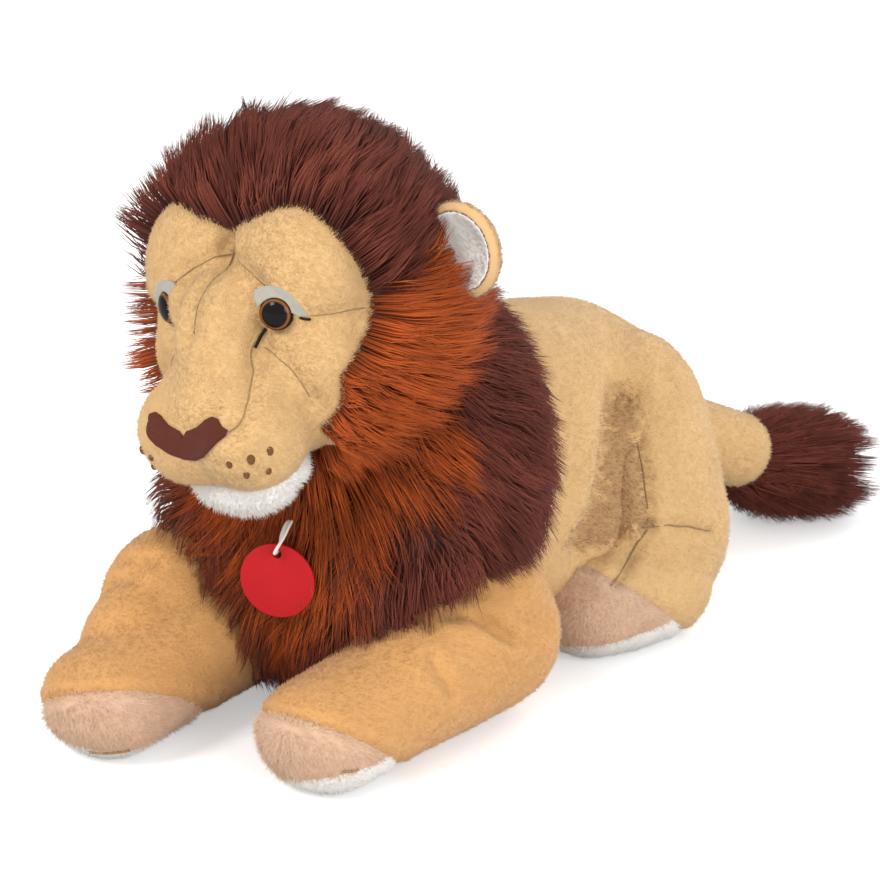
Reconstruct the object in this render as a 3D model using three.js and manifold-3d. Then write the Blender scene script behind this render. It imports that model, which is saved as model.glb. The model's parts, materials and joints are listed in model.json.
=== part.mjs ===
// A stuffed plush lion lying down, in millimetres, with +Z up and the face toward -Y.
// The lion's left side is +X. Each cover is an open shell round its own stuffing.
import * as THREE from "three";
import { mergeVertices } from "three/addons/utils/BufferGeometryUtils.js";
import Module from "manifold-3d";

const wasm = await Module();
wasm.setup();

// Driving dimensions

// Shared by every sewn piece
const gap = 0.3;
const hingeGap = 0.3;
const sweepGap = 1.2;
const rootOpeningShare = 0.82;
const plushThickness = 4;
const overrun = 400;

// Body from the chest to the rump
const torso = { chestY: -182, length: 338, width: 150, backHeight: 208, roundFront: 46, roundRump: 58 };
const torsoShares = [
  { along: 0, centre: 0.40, across: 0.70, high: 0.68 },
  { along: 0.22, centre: 0.47, across: 0.86, high: 0.90 },
  { along: 0.48, centre: 0.48, across: 1.00, high: 1.02 },
  { along: 0.68, centre: 0.46, across: 1.02, high: 0.92 },
  { along: 0.84, centre: 0.38, across: 0.92, high: 0.76 },
  { along: 1, centre: 0.27, across: 0.66, high: 0.54 },
];

// Head, with the ball that its mane and neck turn in
const neck = {
  pivotY: -178, pivotZ: 250, ballRadius: 100, openingRadius: 38, towardY: 0.62, towardZ: -0.78,
  frontRoom: 8,
};
const lean = { degrees: 9, z: 200 };
const skull = { y: -186, z: 240, halfWidth: 74, halfDepth: 50, halfHeight: 74 };
const lobe = { x: 33, y: -214, z: 262, halfWidth: 44, halfDepth: 28, halfHeight: 47 };
const cheeks = { y: -212, z: 214, halfWidth: 64, halfDepth: 34, halfHeight: 48 };
const muzzle = { y: -239, z: 188, halfWidth: 51, halfDepth: 43, halfHeight: 42 };
const bridge = { y: -238, z: 224, halfWidth: 29, halfDepth: 30, halfHeight: 44 };
const chin = { y: -232, z: 149, halfWidth: 31, halfDepth: 25, halfHeight: 17 };
const nose = { width: 46, height: 23, notch: 7, z: 200, cornerDrop: 3, thickness: 2.4, lobeShare: 0.55 };

// Eyes: a domed plastic button on a shank, held by a washer inside the head
const eye = {
  x: 38, y: -238.5, z: 251, radius: 9.2, dome: 5.6, outward: 24, shankRadius: 2, shankLength: 14,
};
const washer = { radius: 8, thickness: 1.6, depth: 9 };
const lid = { clearance: 0.5, thickness: 1.5, tilt: 14, coverShare: 0.28 };

// Ears
const ear = {
  x: 60, y: -150, z: 262, width: 52, height: 52, thickness: 20, lean: 50, rim: 5, cupForward: 8,
  liningThickness: 2.4, room: 0.95, flexDegrees: 10,
};

// Mane: long pile in four panels
const face = { y: -208, halfWidth: 80, topZ: 311, bottomZ: 128 };
const faceShares = [
  { across: 0, up: 0.92 }, { across: 0.45, up: 1 }, { across: 0.84, up: 0.92 }, { across: 1, up: 0.7 },
  { across: 0.94, up: 0.4 }, { across: 0.62, up: 0.12 }, { across: 0, up: 0 },
];
const mane = { splitZ: 254 };
const collar = { y: -125, z: 146, halfWidth: 118, halfDepth: 88, halfHeight: 128 };
const breast = { y: -158, z: 102, halfWidth: 102, halfDepth: 56, halfHeight: 84 };
const ruff = { x: 62, y: -168, z: 118, halfWidth: 44, halfDepth: 40, halfHeight: 50 };
const chest = { halfWidth: 84, topZ: 172, bottomZ: 48, backY: -150 };

// Forelegs: the shoulder ball, the elbow on the floor and the paw
const foreleg = {
  shoulderX: 66, shoulderY: -112, shoulderZ: 52, shoulderRadius: 45,
  wristRadius: 39, pawRadius: 42, pawHalfHeight: 33, pawZ: 30, pawX: 60, leftPawY: -244, rightPawY: -284,
  wristShare: 0.6, roundPaw: 34, panelDepth: 46, soleHeight: 11,
  inDegrees: 3, outDegrees: 12, swingRoom: 3.9,
};

// Hind legs: the hip ball, a thigh that drops to the heel, and a foot
const hindleg = {
  hipX: 52, hipY: 54, hipZ: 92, hipRadius: 40,
  thighX: 62, thighY: 54, thighHalfWidth: 35, thighHalfDepth: 54, thighHeight: 168,
  heelX: 78, heelY: 72, toeX: 60, toeY: -44, footHalfWidth: 36, footHeight: 64, footSink: 3, roundToe: 30,
  panelDepth: 34, soleHeight: 10, swingDegrees: 8,
};

// Tail
const tail = {
  rootX: 4, rootY: 126, rootZ: 88, rootRadius: 28, radius: 25,
  endX: 34, endY: 212, endZ: 50, swingDegrees: 15,
};
const tuft = { radius: 40, rootX: 14, rootY: 204, tipX: 80, tipY: 262, rootRoundShare: 0.7 };

// Hang tag
const tag = {
  x: 10, y: -219, z: 97, radius: 21, thickness: 1.8, holeRadius: 2.6, holeDrop: 5.5, turn: 22,
  stitchY: -206, stitchZ: 128, swingDegrees: 15,
};
const cord = { radius: 0.9, stitchRoom: 5.6, room: { halfWidth: 9, halfDepth: 14, halfHeight: 14 } };
const cordRoute = [
  [11.2, -208.4, 128], [13, -213, 126.6], [14.2, -218, 123], [14.2, -222.6, 119], [13, -224.2, 115.8],
  [11.6, -222.8, 114], [10, -219, 113.7], [8.5, -215.2, 114.2], [7.4, -213.4, 117], [7.2, -212, 120.6],
  [8, -209.6, 125.6], [8.8, -207.4, 127.4],
];

// Counts of sides and rings
const sides = {
  form: 12, inner: 8, rings: 3, middle: 2, ball: 22, ballRings: 6, head: 28, small: 10, curve: 5,
  cord: 8, cordSteps: 20,
};

// Corners nearer to each other than this become one corner.
const mergeDistance = 1e-4;

const v = (x, y, z) => new THREE.Vector3(x, y, z);
const xAxis = v(1, 0, 0);
const zAxis = v(0, 0, 1);
const degrees = THREE.MathUtils.degToRad;

// Solids and cuts

function solid(geometry) {
  const bare = geometry.index ? geometry.toNonIndexed() : geometry.clone();
  bare.deleteAttribute("normal");
  bare.deleteAttribute("uv");
  const merged = mergeVertices(bare, mergeDistance);
  const triVerts = Uint32Array.from(merged.index.array);
  const vertProperties = Float32Array.from(merged.attributes.position.array);
  return new wasm.Manifold(new wasm.Mesh({ numProp: 3, vertProperties, triVerts }));
}

function largest(shape) {
  return shape.decompose().reduce((best, piece) => (piece.volume() > best.volume() ? piece : best));
}

function geometryOf(shape) {
  const mesh = largest(shape).getMesh();
  const geometry = new THREE.BufferGeometry();
  geometry.setAttribute("position", new THREE.BufferAttribute(Float32Array.from(mesh.vertProperties), 3));
  geometry.setIndex(new THREE.BufferAttribute(Uint32Array.from(mesh.triVerts), 1));
  geometry.computeVertexNormals();
  return geometry;
}

function ellipsoid({ x = 0, y, z, halfWidth, halfDepth, halfHeight }, grow = 0, around = sides.form) {
  const segments = grow < 0 ? Math.min(around, sides.inner) : around;
  const geometry = new THREE.SphereGeometry(1, segments, segments / 2);
  geometry.scale(halfWidth + grow, halfDepth + grow, halfHeight + grow);
  return solid(geometry.translate(x, y, z));
}

// A ball whose facets run round the axis that it turns on, so that only those facets pass the socket's.
function ball(centre, radius, axis = zAxis, around = sides.ball) {
  const geometry = new THREE.SphereGeometry(radius, around, sides.ballRings);
  const turn = new THREE.Quaternion().setFromUnitVectors(v(0, 1, 0), axis);
  return solid(geometry.applyQuaternion(turn).translate(centre.x, centre.y, centre.z));
}

// The socket's flat facets stay outside the ball's corners at every angle.
function socket(centre, radius, axis = zAxis, around = sides.ball) {
  return ball(centre, (radius + hingeGap) / Math.cos(Math.PI / around), axis, around);
}

// Everything on the far side of a plane: the block starts at the point and runs along the direction.
function beyond(point, direction) {
  const geometry = new THREE.BoxGeometry(2 * overrun, 2 * overrun, overrun).translate(0, 0, overrun / 2);
  const turn = new THREE.Quaternion().setFromUnitVectors(v(0, 0, 1), direction.clone().normalize());
  return solid(geometry.applyQuaternion(turn).translate(point.x, point.y, point.z));
}

// The weight presses each piece that lies on the floor flat, cover and stuffing alike.
const underFloor = beyond(v(0, 0, 0), v(0, 0, -1));
const onFloorCover = beyond(v(0, 0, plushThickness), v(0, 0, -1));
const onFloorFilling = beyond(v(0, 0, plushThickness + gap), v(0, 0, -1));

// The space that a shape passes through while it turns about an axis through a point.
function sweep(shape, point, axis, from, to, steps) {
  let all = null;
  for (let step = 0; step <= steps; step += 1) {
    const angle = degrees(steps ? from + ((to - from) * step) / steps : from);
    const matrix = new THREE.Matrix4().makeTranslation(point.x, point.y, point.z)
      .multiply(new THREE.Matrix4().makeRotationAxis(axis, angle))
      .multiply(new THREE.Matrix4().makeTranslation(-point.x, -point.y, -point.z));
    const turned = shape.transform(Array.from(matrix.elements));
    all = all ? all.add(turned) : turned;
  }
  return all;
}

// A stuffed form: elliptical rings along a smooth path, with rounded ends. An inset makes its inside.
function softForm({ centres, across, high, roundStart, roundEnd }, inset = 0) {
  const around = inset > 0 ? sides.inner : sides.form;
  const path = new THREE.CatmullRomCurve3(centres, false, "centripetal");
  const widths = new THREE.CatmullRomCurve3(across.map((half, i) => v(half, high[i], 0)));
  const length = path.getLength();
  const stations = [];
  for (let i = 1; i <= sides.rings; i += 1) {
    const angle = (i / sides.rings) * (Math.PI / 2);
    stations.push({ along: inset + (roundStart - inset) * (1 - Math.cos(angle)), scale: Math.sin(angle) });
  }
  for (let i = 1; i <= sides.middle; i += 1) {
    const along = roundStart + ((length - roundStart - roundEnd) * i) / (sides.middle + 1);
    stations.push({ along, scale: 1 });
  }
  for (let i = sides.rings; i >= 1; i -= 1) {
    const angle = (i / sides.rings) * (Math.PI / 2);
    const along = length - inset - (roundEnd - inset) * (1 - Math.cos(angle));
    stations.push({ along, scale: Math.sin(angle) });
  }
  const frameAt = (along) => {
    const within = THREE.MathUtils.clamp(along, 0, length);
    const t = THREE.MathUtils.clamp(path.getUtoTmapping(0, within), 0, 1);
    const tangent = path.getTangent(t);
    const centre = path.getPoint(t).addScaledVector(tangent, along - within);
    const side = tangent.clone().cross(v(0, 0, 1)).normalize();
    return { centre, size: widths.getPoint(t), side, up: side.clone().cross(tangent) };
  };
  const positions = [];
  for (const { along, scale } of stations) {
    const { centre, size, side, up } = frameAt(along);
    for (let i = 0; i < around; i += 1) {
      const angle = (i / around) * 2 * Math.PI;
      const point = centre.clone()
        .addScaledVector(side, Math.cos(angle) * (size.x - inset) * scale)
        .addScaledVector(up, Math.sin(angle) * (size.y - inset) * scale);
      positions.push(point);
    }
  }
  return solid(closedRings(positions, around, frameAt(inset).centre, frameAt(length - inset).centre));
}

function closedRings(positions, around, first, last) {
  const count = positions.length / around;
  const index = [];
  const start = positions.length;
  for (let ring = 0; ring < count - 1; ring += 1) {
    for (let i = 0; i < around; i += 1) {
      const a = ring * around + i;
      const b = ring * around + ((i + 1) % around);
      index.push(a, a + around, b, b, a + around, b + around);
    }
  }
  for (let i = 0; i < around; i += 1) {
    const next = (i + 1) % around;
    const base = (count - 1) * around;
    index.push(start, i, next);
    index.push(start + 1, base + next, base + i);
  }
  const geometry = new THREE.BufferGeometry().setFromPoints([...positions, first, last]);
  geometry.setIndex(index);
  return geometry;
}

// Nodes

const lion = new THREE.Group();

function add(name, shape, colour, roughness = 0.9, metalness = 0) {
  const material = new THREE.MeshStandardMaterial({ color: colour, roughness, metalness });
  const mesh = new THREE.Mesh(shape.isBufferGeometry ? shape : geometryOf(shape), material);
  mesh.name = name;
  lion.add(mesh);
}

const colours = {
  tan: "#dfb57c", paw: "#d8ae8b", white: "#f0ebe4", dark: "#5a2c22", rust: "#a64c1f", nose: "#54301f",
  felt: "#bdb9ad", eye: "#3a1e10", red: "#c4141f", cord: "#f2efe9", filling: "#f4f2ec", washer: "#e8e4da",
};
const mirrored = (sign, name) => `${name}_${sign > 0 ? "left" : "right"}`;

// Shapes that several pieces share

const pivot = v(0, neck.pivotY, neck.pivotZ);
const headBall = ball(pivot, neck.ballRadius, zAxis, sides.head);
const headSocket = socket(pivot, neck.ballRadius, zAxis, sides.head);

function torsoForm(inset = 0) {
  const { chestY, length, width, backHeight } = torso;
  return softForm({
    centres: torsoShares.map(({ along, centre }) => v(0, chestY + along * length, centre * backHeight)),
    across: torsoShares.map((share) => (share.across * width) / 2),
    high: torsoShares.map((share) => (share.high * backHeight) / 2),
    roundStart: torso.roundFront,
    roundEnd: torso.roundRump,
  }, inset);
}

// The body as a limb sees it while the limb turns about its root.
function torsoPast(point, axis, from, to) {
  return sweep(torsoForm(-sweepGap), point, axis, -to, -from, 1);
}

// The head leans to its right about a line along Y. Its pieces are made upright and leaned at the end.
function leaned(shape) {
  return shape.translate([0, 0, -lean.z]).rotate([0, -lean.degrees, 0]).translate([0, 0, lean.z]);
}

function uprightHead(grow = 0) {
  return [lobe, { ...lobe, x: -lobe.x }, cheeks, muzzle, bridge].reduce(
    (all, part) => all.add(ellipsoid(part, grow)),
    ellipsoid(skull, grow),
  );
}

const headForm = (grow = 0) => leaned(uprightHead(grow));
const chinForm = (grow = 0) => ellipsoid(chin, grow, sides.small);

const between = (first, last) => first.clone().add(last).divideScalar(2);

// Limbs: each turns on a ball that sits in a socket of the body.
// A cover is the outer form less the inside, split at the paw into a cover, a toe panel and a sole.

function limbPieces({ form, root, radius, axis, past, inward }) {
  const core = (inset) => ball(root, radius - inset, axis, sides.inner);
  const outside = form(0).subtract(past).add(ball(root, radius, axis)).subtract(underFloor);
  const opening = beyond(root.clone().addScaledVector(inward, radius * rootOpeningShare), inward);
  return {
    shell: outside
      .subtract(form(plushThickness).add(core(plushThickness)).subtract(onFloorCover))
      .subtract(opening),
    filling: form(plushThickness + gap).subtract(past)
      .add(core(plushThickness + gap))
      .subtract(onFloorFilling),
  };
}

function addPaw(sign, names, { shell, panelAt, forward, soleHeight }) {
  const ahead = beyond(panelAt, forward);
  const aheadPanel = beyond(panelAt.clone().addScaledVector(forward, gap), forward);
  const low = beyond(v(0, 0, soleHeight), v(0, 0, -1));
  const lowSole = beyond(v(0, 0, soleHeight - gap), v(0, 0, -1));
  add(mirrored(sign, names.cover), shell.subtract(ahead), colours.tan);
  add(mirrored(sign, names.panel), shell.intersect(aheadPanel).subtract(low), colours.paw);
  add(mirrored(sign, names.sole), shell.intersect(aheadPanel).intersect(lowSole), colours.white);
}

// Forelegs

function forelegPlaces(sign) {
  const pawY = sign > 0 ? foreleg.leftPawY : foreleg.rightPawY;
  const shoulder = v(sign * foreleg.shoulderX, foreleg.shoulderY, foreleg.shoulderZ);
  const paw = v(sign * foreleg.pawX, pawY, foreleg.pawZ);
  return { shoulder, paw, forward: paw.clone().sub(shoulder).setZ(0).normalize() };
}

// A fan is the form opened sideways, wide enough for the leg at both ends of its swing.
function forelegForm(sign, inset = 0, fanDegrees = 0) {
  const { shoulder, paw, forward } = forelegPlaces(sign);
  const back = shoulder.clone().addScaledVector(forward, -foreleg.shoulderRadius);
  const tip = paw.clone().addScaledVector(forward, foreleg.roundPaw);
  const wrist = shoulder.clone().lerp(paw, foreleg.wristShare);
  const reach = shoulder.distanceTo(paw);
  const fan = Math.tan(degrees(fanDegrees)) * reach;
  const { shoulderRadius, wristRadius, pawHalfHeight } = foreleg;
  const wristHalf = wristRadius + fan * foreleg.wristShare;
  const pawHalf = foreleg.pawRadius + fan;
  return softForm({
    centres: [back, shoulder, wrist, paw, tip],
    across: [shoulderRadius, shoulderRadius, wristHalf, pawHalf, pawHalf],
    high: [shoulderRadius, shoulderRadius, wristRadius, pawHalfHeight, pawHalfHeight],
    roundStart: shoulderRadius,
    roundEnd: foreleg.roundPaw,
  }, inset);
}

function forelegSpace(sign) {
  const middle = (foreleg.outDegrees - foreleg.inDegrees) / 2;
  const half = (foreleg.outDegrees + foreleg.inDegrees) / 2;
  const { shoulder } = forelegPlaces(sign);
  const fan = forelegForm(sign, -foreleg.swingRoom, half);
  return sweep(fan, shoulder, zAxis, sign * middle, sign * middle, 0)
    .add(socket(shoulder, foreleg.shoulderRadius));
}

function addForeleg(sign) {
  const { shoulder, paw, forward } = forelegPlaces(sign);
  const swing = [-foreleg.inDegrees, foreleg.outDegrees];
  const [from, to] = sign > 0 ? swing : swing.map((angle) => -angle).reverse();
  const { shell, filling } = limbPieces({
    form: (inset) => forelegForm(sign, inset),
    root: shoulder,
    radius: foreleg.shoulderRadius,
    axis: zAxis,
    past: torsoPast(shoulder, zAxis, from, to),
    inward: v(-sign, 0, 0),
  });
  const names = { cover: "foreleg_cover", panel: "forepaw_panel", sole: "forepaw_sole" };
  const panelAt = paw.clone().addScaledVector(forward, foreleg.roundPaw - foreleg.panelDepth);
  addPaw(sign, names, { shell, panelAt, forward, soleHeight: foreleg.soleHeight });
  add(mirrored(sign, "foreleg_filling"), filling, colours.filling);
}

// Hind legs

const hipOf = (sign) => v(sign * hindleg.hipX, hindleg.hipY, hindleg.hipZ);

function hindlegForm(sign, inset = 0) {
  const thigh = ellipsoid({
    x: sign * hindleg.thighX,
    y: hindleg.thighY,
    z: hindleg.thighHeight / 2,
    halfWidth: hindleg.thighHalfWidth,
    halfDepth: hindleg.thighHalfDepth,
    halfHeight: hindleg.thighHeight / 2,
  }, -inset);
  const halfFoot = hindleg.footHeight / 2;
  const footZ = halfFoot - hindleg.footSink;
  const heel = v(sign * hindleg.heelX, hindleg.heelY, footZ);
  const toe = v(sign * hindleg.toeX, hindleg.toeY, footZ);
  const foot = softForm({
    centres: [heel, between(heel, toe), toe],
    across: [hindleg.footHalfWidth, hindleg.footHalfWidth, hindleg.footHalfWidth],
    high: [halfFoot, halfFoot, halfFoot],
    roundStart: halfFoot,
    roundEnd: hindleg.roundToe,
  }, inset);
  return thigh.add(foot);
}

function addHindleg(sign) {
  const hip = hipOf(sign);
  const { shell, filling } = limbPieces({
    form: (inset) => hindlegForm(sign, inset),
    root: hip,
    radius: hindleg.hipRadius,
    axis: xAxis,
    past: torsoPast(hip, xAxis, -hindleg.swingDegrees, 0),
    inward: v(-sign, 0, 0),
  });
  const names = { cover: "hindleg_cover", panel: "hindpaw_panel", sole: "hindpaw_sole" };
  const forward = v(sign * (hindleg.toeX - hindleg.heelX), hindleg.toeY - hindleg.heelY, 0).normalize();
  const toe = v(sign * hindleg.toeX, hindleg.toeY, 0);
  const panelAt = toe.addScaledVector(forward, -hindleg.panelDepth);
  addPaw(sign, names, { shell, panelAt, forward, soleHeight: hindleg.soleHeight });
  add(mirrored(sign, "hindleg_filling"), filling, colours.filling);
}

// Tail

const tailRoot = v(tail.rootX, tail.rootY, tail.rootZ);
const tailEnd = v(tail.endX, tail.endY, tail.endZ);
const tailAlong = tailEnd.clone().sub(tailRoot).normalize();

function tailForm(inset = 0) {
  return softForm({
    centres: [tailRoot, between(tailRoot, tailEnd), tailEnd],
    across: [tail.radius, tail.radius, tail.radius],
    high: [tail.radius, tail.radius, tail.radius],
    roundStart: tail.radius,
    roundEnd: tail.radius,
  }, inset);
}

function addTail() {
  const { shell, filling } = limbPieces({
    form: tailForm,
    root: tailRoot,
    radius: tail.rootRadius,
    axis: zAxis,
    past: torsoPast(tailRoot, zAxis, -tail.swingDegrees, tail.swingDegrees),
    inward: tailAlong.clone().negate(),
  });
  add("tail_cover", shell, colours.tan);
  add("tail_filling", filling, colours.filling);
  const tip = v(tuft.tipX, tuft.tipY, tuft.radius);
  const root = v(tuft.rootX, tuft.rootY, tuft.radius);
  const tuftForm = softForm({
    centres: [root, between(root, tip), tip],
    across: [tuft.radius, tuft.radius, tuft.radius],
    high: [tuft.radius, tuft.radius, tuft.radius],
    roundStart: tuft.radius * tuft.rootRoundShare,
    roundEnd: tuft.radius,
  });
  add("tail_tuft", tuftForm.subtract(tailForm(-gap)).subtract(underFloor), colours.dark);
}

// Torso

const sockets = [1, -1].reduce(
  (all, sign) => all
    .add(socket(forelegPlaces(sign).shoulder, foreleg.shoulderRadius))
    .add(socket(hipOf(sign), hindleg.hipRadius, xAxis)),
  socket(tailRoot, tail.rootRadius),
).add(headSocket);

function addTorso() {
  const shell = torsoForm().subtract(torsoForm(plushThickness).subtract(onFloorCover));
  add("torso_cover", shell.subtract(sockets).subtract(underFloor), colours.tan);
  const filling = torsoForm(plushThickness + gap).subtract(onFloorFilling).subtract(sockets);
  add("torso_filling", filling, colours.filling);
}

// Head

const neckAlong = v(0, neck.towardY, neck.towardZ).normalize();

// A straight bar from the neck's pivot to past the ball, along the neck.
function neckPlug(radius) {
  const bar = new THREE.CylinderGeometry(radius, radius, neck.ballRadius * 2, sides.form)
    .translate(0, neck.ballRadius, 0);
  const turn = new THREE.Quaternion().setFromUnitVectors(v(0, 1, 0), neckAlong);
  return solid(bar.applyQuaternion(turn).translate(pivot.x, pivot.y, pivot.z));
}

function eyeFrame(sign) {
  const outward = v(sign * Math.sin(degrees(eye.outward)), -Math.cos(degrees(eye.outward)), 0);
  const turn = new THREE.Quaternion().setFromUnitVectors(v(0, 1, 0), outward);
  return { at: v(sign * eye.x, eye.y, eye.z), turn };
}

// A lathe profile along the eye's own axis, with the dome outward.
function eyeLathe(sign, profile) {
  const { at, turn } = eyeFrame(sign);
  const points = profile.map(([radius, along]) => new THREE.Vector2(radius, along));
  const geometry = new THREE.LatheGeometry(points, sides.form).applyQuaternion(turn);
  return leaned(solid(geometry.translate(at.x, at.y, at.z)));
}

function eyeForm(sign, grow = 0) {
  const radius = eye.radius + grow;
  const dome = eye.dome + grow;
  const shank = eye.shankRadius + grow;
  const end = -eye.shankLength - grow;
  const profile = [[0, end], [shank, end], [shank, -grow], [radius, -grow]];
  for (let i = 1; i < sides.rings; i += 1) {
    const angle = (i / sides.rings) * (Math.PI / 2);
    profile.push([radius * Math.cos(angle), dome * Math.sin(angle)]);
  }
  profile.push([0, dome]);
  return eyeLathe(sign, profile);
}

function washerForm(sign) {
  const bore = eye.shankRadius + gap;
  const front = -washer.depth;
  const back = front - washer.thickness;
  const { radius } = washer;
  return eyeLathe(sign, [[bore, back], [radius, back], [radius, front], [bore, front], [bore, back]]);
}

function washerSpace(sign) {
  const front = gap - washer.depth;
  const back = -washer.depth - washer.thickness - gap;
  const radius = washer.radius + gap;
  return eyeLathe(sign, [[0, back], [radius, back], [radius, front], [0, front]]);
}

function lidForm(sign) {
  const { at } = eyeFrame(sign);
  const inner = eye.radius + lid.clearance;
  const edge = at.clone().add(v(0, 0, inner * lid.coverShare));
  const above = beyond(edge, v(-sign * Math.sin(degrees(lid.tilt)), 0, 1));
  const round = (radius) => ball(at, radius, zAxis, sides.small);
  return leaned(round(inner + lid.thickness).subtract(round(inner)).intersect(above)
    .subtract(uprightHead(gap)));
}

function nosePatch() {
  const half = nose.width / 2;
  const outline = new THREE.Shape();
  outline.moveTo(0, -nose.notch);
  outline.quadraticCurveTo(half * nose.lobeShare, 0, half, -nose.cornerDrop);
  outline.quadraticCurveTo(half * nose.lobeShare, -nose.height * nose.lobeShare, 0, -nose.height);
  outline.quadraticCurveTo(-half * nose.lobeShare, -nose.height * nose.lobeShare, -half, -nose.cornerDrop);
  outline.quadraticCurveTo(-half * nose.lobeShare, 0, 0, -nose.notch);
  const depth = muzzle.halfDepth * 2;
  const options = { depth, bevelEnabled: false, curveSegments: sides.curve };
  const prism = new THREE.ExtrudeGeometry(outline, options)
    .rotateX(Math.PI / 2)
    .translate(0, muzzle.y, nose.z);
  return leaned(solid(prism).intersect(uprightHead(gap + nose.thickness)).subtract(uprightHead(gap)));
}

const earBase = (sign) => v(sign * ear.x, ear.y, ear.z);

// An ear stands on its base line, leans outward and is hollowed in front.
function earShape(sign, { halfWidth, halfDepth, halfHeight, forward = 0 }) {
  const base = earBase(sign);
  const geometry = new THREE.SphereGeometry(1, sides.small, sides.small / 2);
  geometry.scale(halfWidth, halfDepth, halfHeight);
  geometry.translate(0, -forward, ear.height / 2);
  geometry.rotateY(sign * degrees(ear.lean));
  return solid(geometry.translate(base.x, base.y, base.z));
}

const earSize = (grow = 0) => ({
  halfWidth: ear.width / 2 + grow, halfDepth: ear.thickness / 2 + grow, halfHeight: ear.height / 2 + grow,
});
const cupSize = (grow = 0) => ({
  halfWidth: ear.width / 2 - ear.rim + grow,
  halfDepth: ear.thickness / 2 + grow,
  halfHeight: ear.height / 2 - ear.rim + grow,
  forward: ear.cupForward,
});
const earAxis = (sign) => v(Math.cos(degrees(ear.lean)), 0, -sign * Math.sin(degrees(ear.lean)));

function addEar(sign) {
  const cover = earShape(sign, earSize()).subtract(earShape(sign, cupSize()));
  add(mirrored(sign, "ear_cover"), cover, colours.tan);
  const cup = earShape(sign, cupSize(-gap)).intersect(earShape(sign, earSize()));
  const hollow = { ...cupSize(-gap), forward: ear.cupForward + ear.liningThickness };
  add(mirrored(sign, "ear_lining"), cup.subtract(earShape(sign, hollow)), colours.white);
}

const earSpace = (sign) => sweep(
  earShape(sign, earSize(ear.room)), earBase(sign), earAxis(sign), -ear.flexDegrees, ear.flexDegrees, 2,
);

function addHead() {
  const eyes = eyeForm(1, gap).add(eyeForm(-1, gap));
  const washers = washerSpace(1).add(washerSpace(-1));
  const open = neckPlug(neck.openingRadius);
  const ears = earSpace(1).add(earSpace(-1));
  const shell = headForm().subtract(headForm(-plushThickness)).subtract(open);
  add("head_cover", shell.subtract(eyes).subtract(washers).subtract(ears), colours.tan);
  const plug = neckPlug(neck.openingRadius - gap).intersect(headBall);
  const filling = headForm(-plushThickness - gap).add(plug).subtract(eyes).subtract(washers);
  add("head_filling", filling, colours.filling);
  add("chin_patch", chinForm().subtract(headForm(gap)), colours.white);
  add("nose_patch", nosePatch(), colours.nose, 0.8);
  for (const sign of [1, -1]) {
    add(mirrored(sign, "eye"), eyeForm(sign), colours.eye, 0.15);
    add(mirrored(sign, "eye_washer"), washerForm(sign), colours.washer, 0.5);
    add(mirrored(sign, "eyelid"), lidForm(sign), colours.felt);
    addEar(sign);
  }
}

// Mane

// The opening round the face: two lobes above and a narrow chin below, cut straight through along Y.
function faceWindow() {
  const height = face.topZ - face.bottomZ;
  const right = faceShares.map(({ across, up }) => [across * face.halfWidth, up * height + face.bottomZ]);
  const left = right.slice(1, -1).reverse().map(([x, z]) => [-x, z]);
  const outline = new THREE.Shape([...right, ...left].map(([x, z]) => new THREE.Vector2(x, z)));
  return leaned(solid(new THREE.ExtrudeGeometry(outline, { depth: neck.ballRadius, bevelEnabled: false })
    .rotateX(Math.PI / 2).translate(0, face.y, 0)));
}

// The room in front of the neck that the chin and muzzle sweep as the head turns.
function chinSpace() {
  const reach = neck.pivotY - (muzzle.y - muzzle.halfDepth) + 3 * sweepGap;
  const bottom = chin.z - chin.halfHeight - sweepGap;
  const height = pivot.z - bottom;
  const round = new THREE.CylinderGeometry(reach, reach, height, sides.ball)
    .rotateX(Math.PI / 2)
    .translate(0, neck.pivotY, bottom + height / 2);
  return solid(round).intersect(beyond(v(0, neck.pivotY - neck.frontRoom, 0), v(0, -1, 0)));
}

function addMane() {
  const whole = headBall.subtract(headForm(gap)).subtract(chinForm(gap)).subtract(faceWindow())
    .subtract(neckPlug(neck.openingRadius + gap))
    .subtract(earSpace(1)).subtract(earSpace(-1));
  add("mane_crown", whole.intersect(beyond(v(0, 0, mane.splitZ + gap), zAxis)), colours.dark);
  add("mane_cheeks", whole.subtract(beyond(v(0, 0, mane.splitZ), zAxis)), colours.rust);

  const space = headSocket.add(chinSpace()).add(torsoForm(-gap)).add(forelegSpace(1)).add(forelegSpace(-1))
    .add(tagSpace());
  const ring = [breast, ruff, { ...ruff, x: -ruff.x }].reduce(
    (all, part) => all.add(ellipsoid(part)),
    ellipsoid(collar),
  ).subtract(space);
  const bib = (grow) => {
    const outline = new THREE.Shape();
    outline.moveTo(-chest.halfWidth - grow, chest.topZ);
    outline.lineTo(0, chest.bottomZ - grow);
    outline.lineTo(chest.halfWidth + grow, chest.topZ);
    const depth = collar.halfDepth * 2;
    return solid(new THREE.ExtrudeGeometry(outline, { depth, bevelEnabled: false })
      .rotateX(Math.PI / 2).translate(0, chest.backY, 0));
  };
  add("mane_chest", ring.intersect(bib(0)), colours.rust);
  add("mane_collar", ring.subtract(bib(2 * gap)), colours.dark);
}

// Hang tag

const tagNormal = v(Math.sin(degrees(tag.turn)), -Math.cos(degrees(tag.turn)), 0);
const tagStitch = v(tag.x, tag.stitchY, tag.stitchZ);

function disc(radius, thickness, z) {
  const turn = new THREE.Quaternion().setFromUnitVectors(v(0, 1, 0), tagNormal);
  return solid(new THREE.CylinderGeometry(radius, radius, thickness, sides.ball).applyQuaternion(turn)
    .translate(tag.x, tag.y, z));
}

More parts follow.
